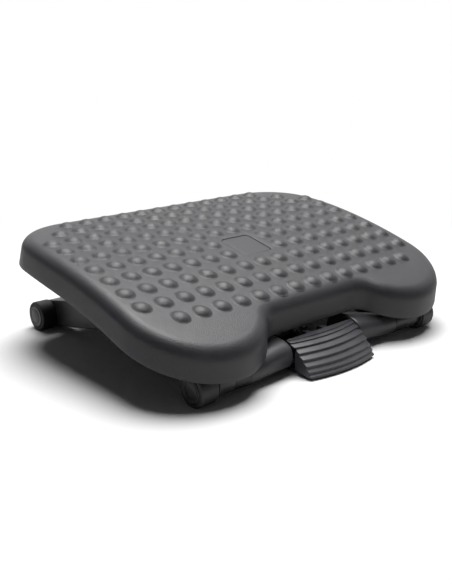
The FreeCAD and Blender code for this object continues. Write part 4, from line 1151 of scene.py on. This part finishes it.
def dress_bars(materials):
    """Housings, covers, feet and plugs of both bars."""
    plastic = materials["frame_plastic"]
    plug = materials["plug_plastic"]
    front_foot = foot_shape(*FRONT_FOOT, FOOT_RADIUS + FOOT_FLAT_DROP, FRONT_FOOT_EDGE, FRONT_BAR,
                            FOOT_GROOVE)
    dress_bar("base", [
        ("pedal_housing", housing(), "frame_plastic", plastic),
        ("front_sleeve", sleeve(), "frame_plastic", plastic),
        ("front_foot", flat_below(front_foot), "foot_rubber", materials["front_rubber"]),
        ("front_foot_plug", plug_shape(FRONT_FOOT[1], FRONT_BAR), "plug_plastic", plug),
    ])
    rear_foot = foot_shape(*REAR_FOOT, FOOT_RADIUS, REAR_FOOT_EDGE, REAR_BAR)
    dress_bar("rear_legs", [
        ("rear_foot", rear_foot, "foot_rubber", materials["foot_rubber"]),
        ("rear_foot_plug", plug_shape(REAR_FOOT[1], REAR_BAR), "plug_plastic", plug),
    ])


def dress_screws(materials):
    """Cross-recess screws in place of the plain ones."""
    tree = screw_tree()
    steel = materials["bright_steel"]
    bracket = [(x, y, -BRACKET_SEAT - FLANGE) for x, y in boss_places()]
    piece = grown("bracket_screws_recessed", tree, bracket, [], SCREW, steel, DECK_SEAT, turn=pi)
    finished(piece, "deck", "bright_steel", "bracket_screws")
    housing_places = [(side * (HOUSING_INNER + across), FRONT_BAR[0] + behind, HOUSING_SCREW_Z)
                      for across, behind in HOUSING_SCREW_PLACES for side in (-1, 1)]
    piece = grown("housing_screws_recessed", tree, housing_places, [], SCREW, steel, turn=pi)
    finished(piece, "base", "bright_steel", "housing_screws")
    x, y, z = COVER_SCREW_PLACE
    piece = grown("guide_cover_screws_recessed", tree, [(-x, y, z), (x, y, z)], [], COVER_SCREW, steel)
    finished(piece, "base", "bright_steel", "guide_cover_screws")


def dress_spring(materials):
    """Coil behind the lock bolt."""
    low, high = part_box("lock_spring")
    start = low.y / MM + SPRING_WIRE / 2
    length = (high.y - low.y) / MM - SPRING_WIRE
    steps = SPRING_TURNS * SPRING_STEPS
    points = []
    for i in range(steps + 1):
        angle = 2 * pi * SPRING_TURNS * i / steps
        points.append((SPRING_RADIUS * cos(angle), start + length * i / steps,
                       FRONT_BAR[1] + SPRING_RADIUS * sin(angle)))
    edges = [(i, i + 1) for i in range(steps)]
    steel = materials["bright_steel"]
    coil = grown("lock_spring_coil", coil_tree(), points, edges, {"Wire": SPRING_WIRE}, steel)
    finished(coil, "base", "bright_steel", "lock_spring")
    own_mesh(coil)


def paint_frame(materials):
    """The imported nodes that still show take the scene's finishes."""
    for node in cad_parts.values():
        for slot in node.material_slots:
            name = slot.material.name.split(".")[0]
            slot.material = materials.get(name, slot.material)


materials = make_materials()
make_camera()
make_world()
make_lamp()
make_floor()
paint_frame(materials)
dress_deck(materials)
dress_pedal(materials)
dress_bars(materials)
dress_screws(materials)
dress_spring(materials)

bpy.context.scene.view_settings.view_transform = "Standard"
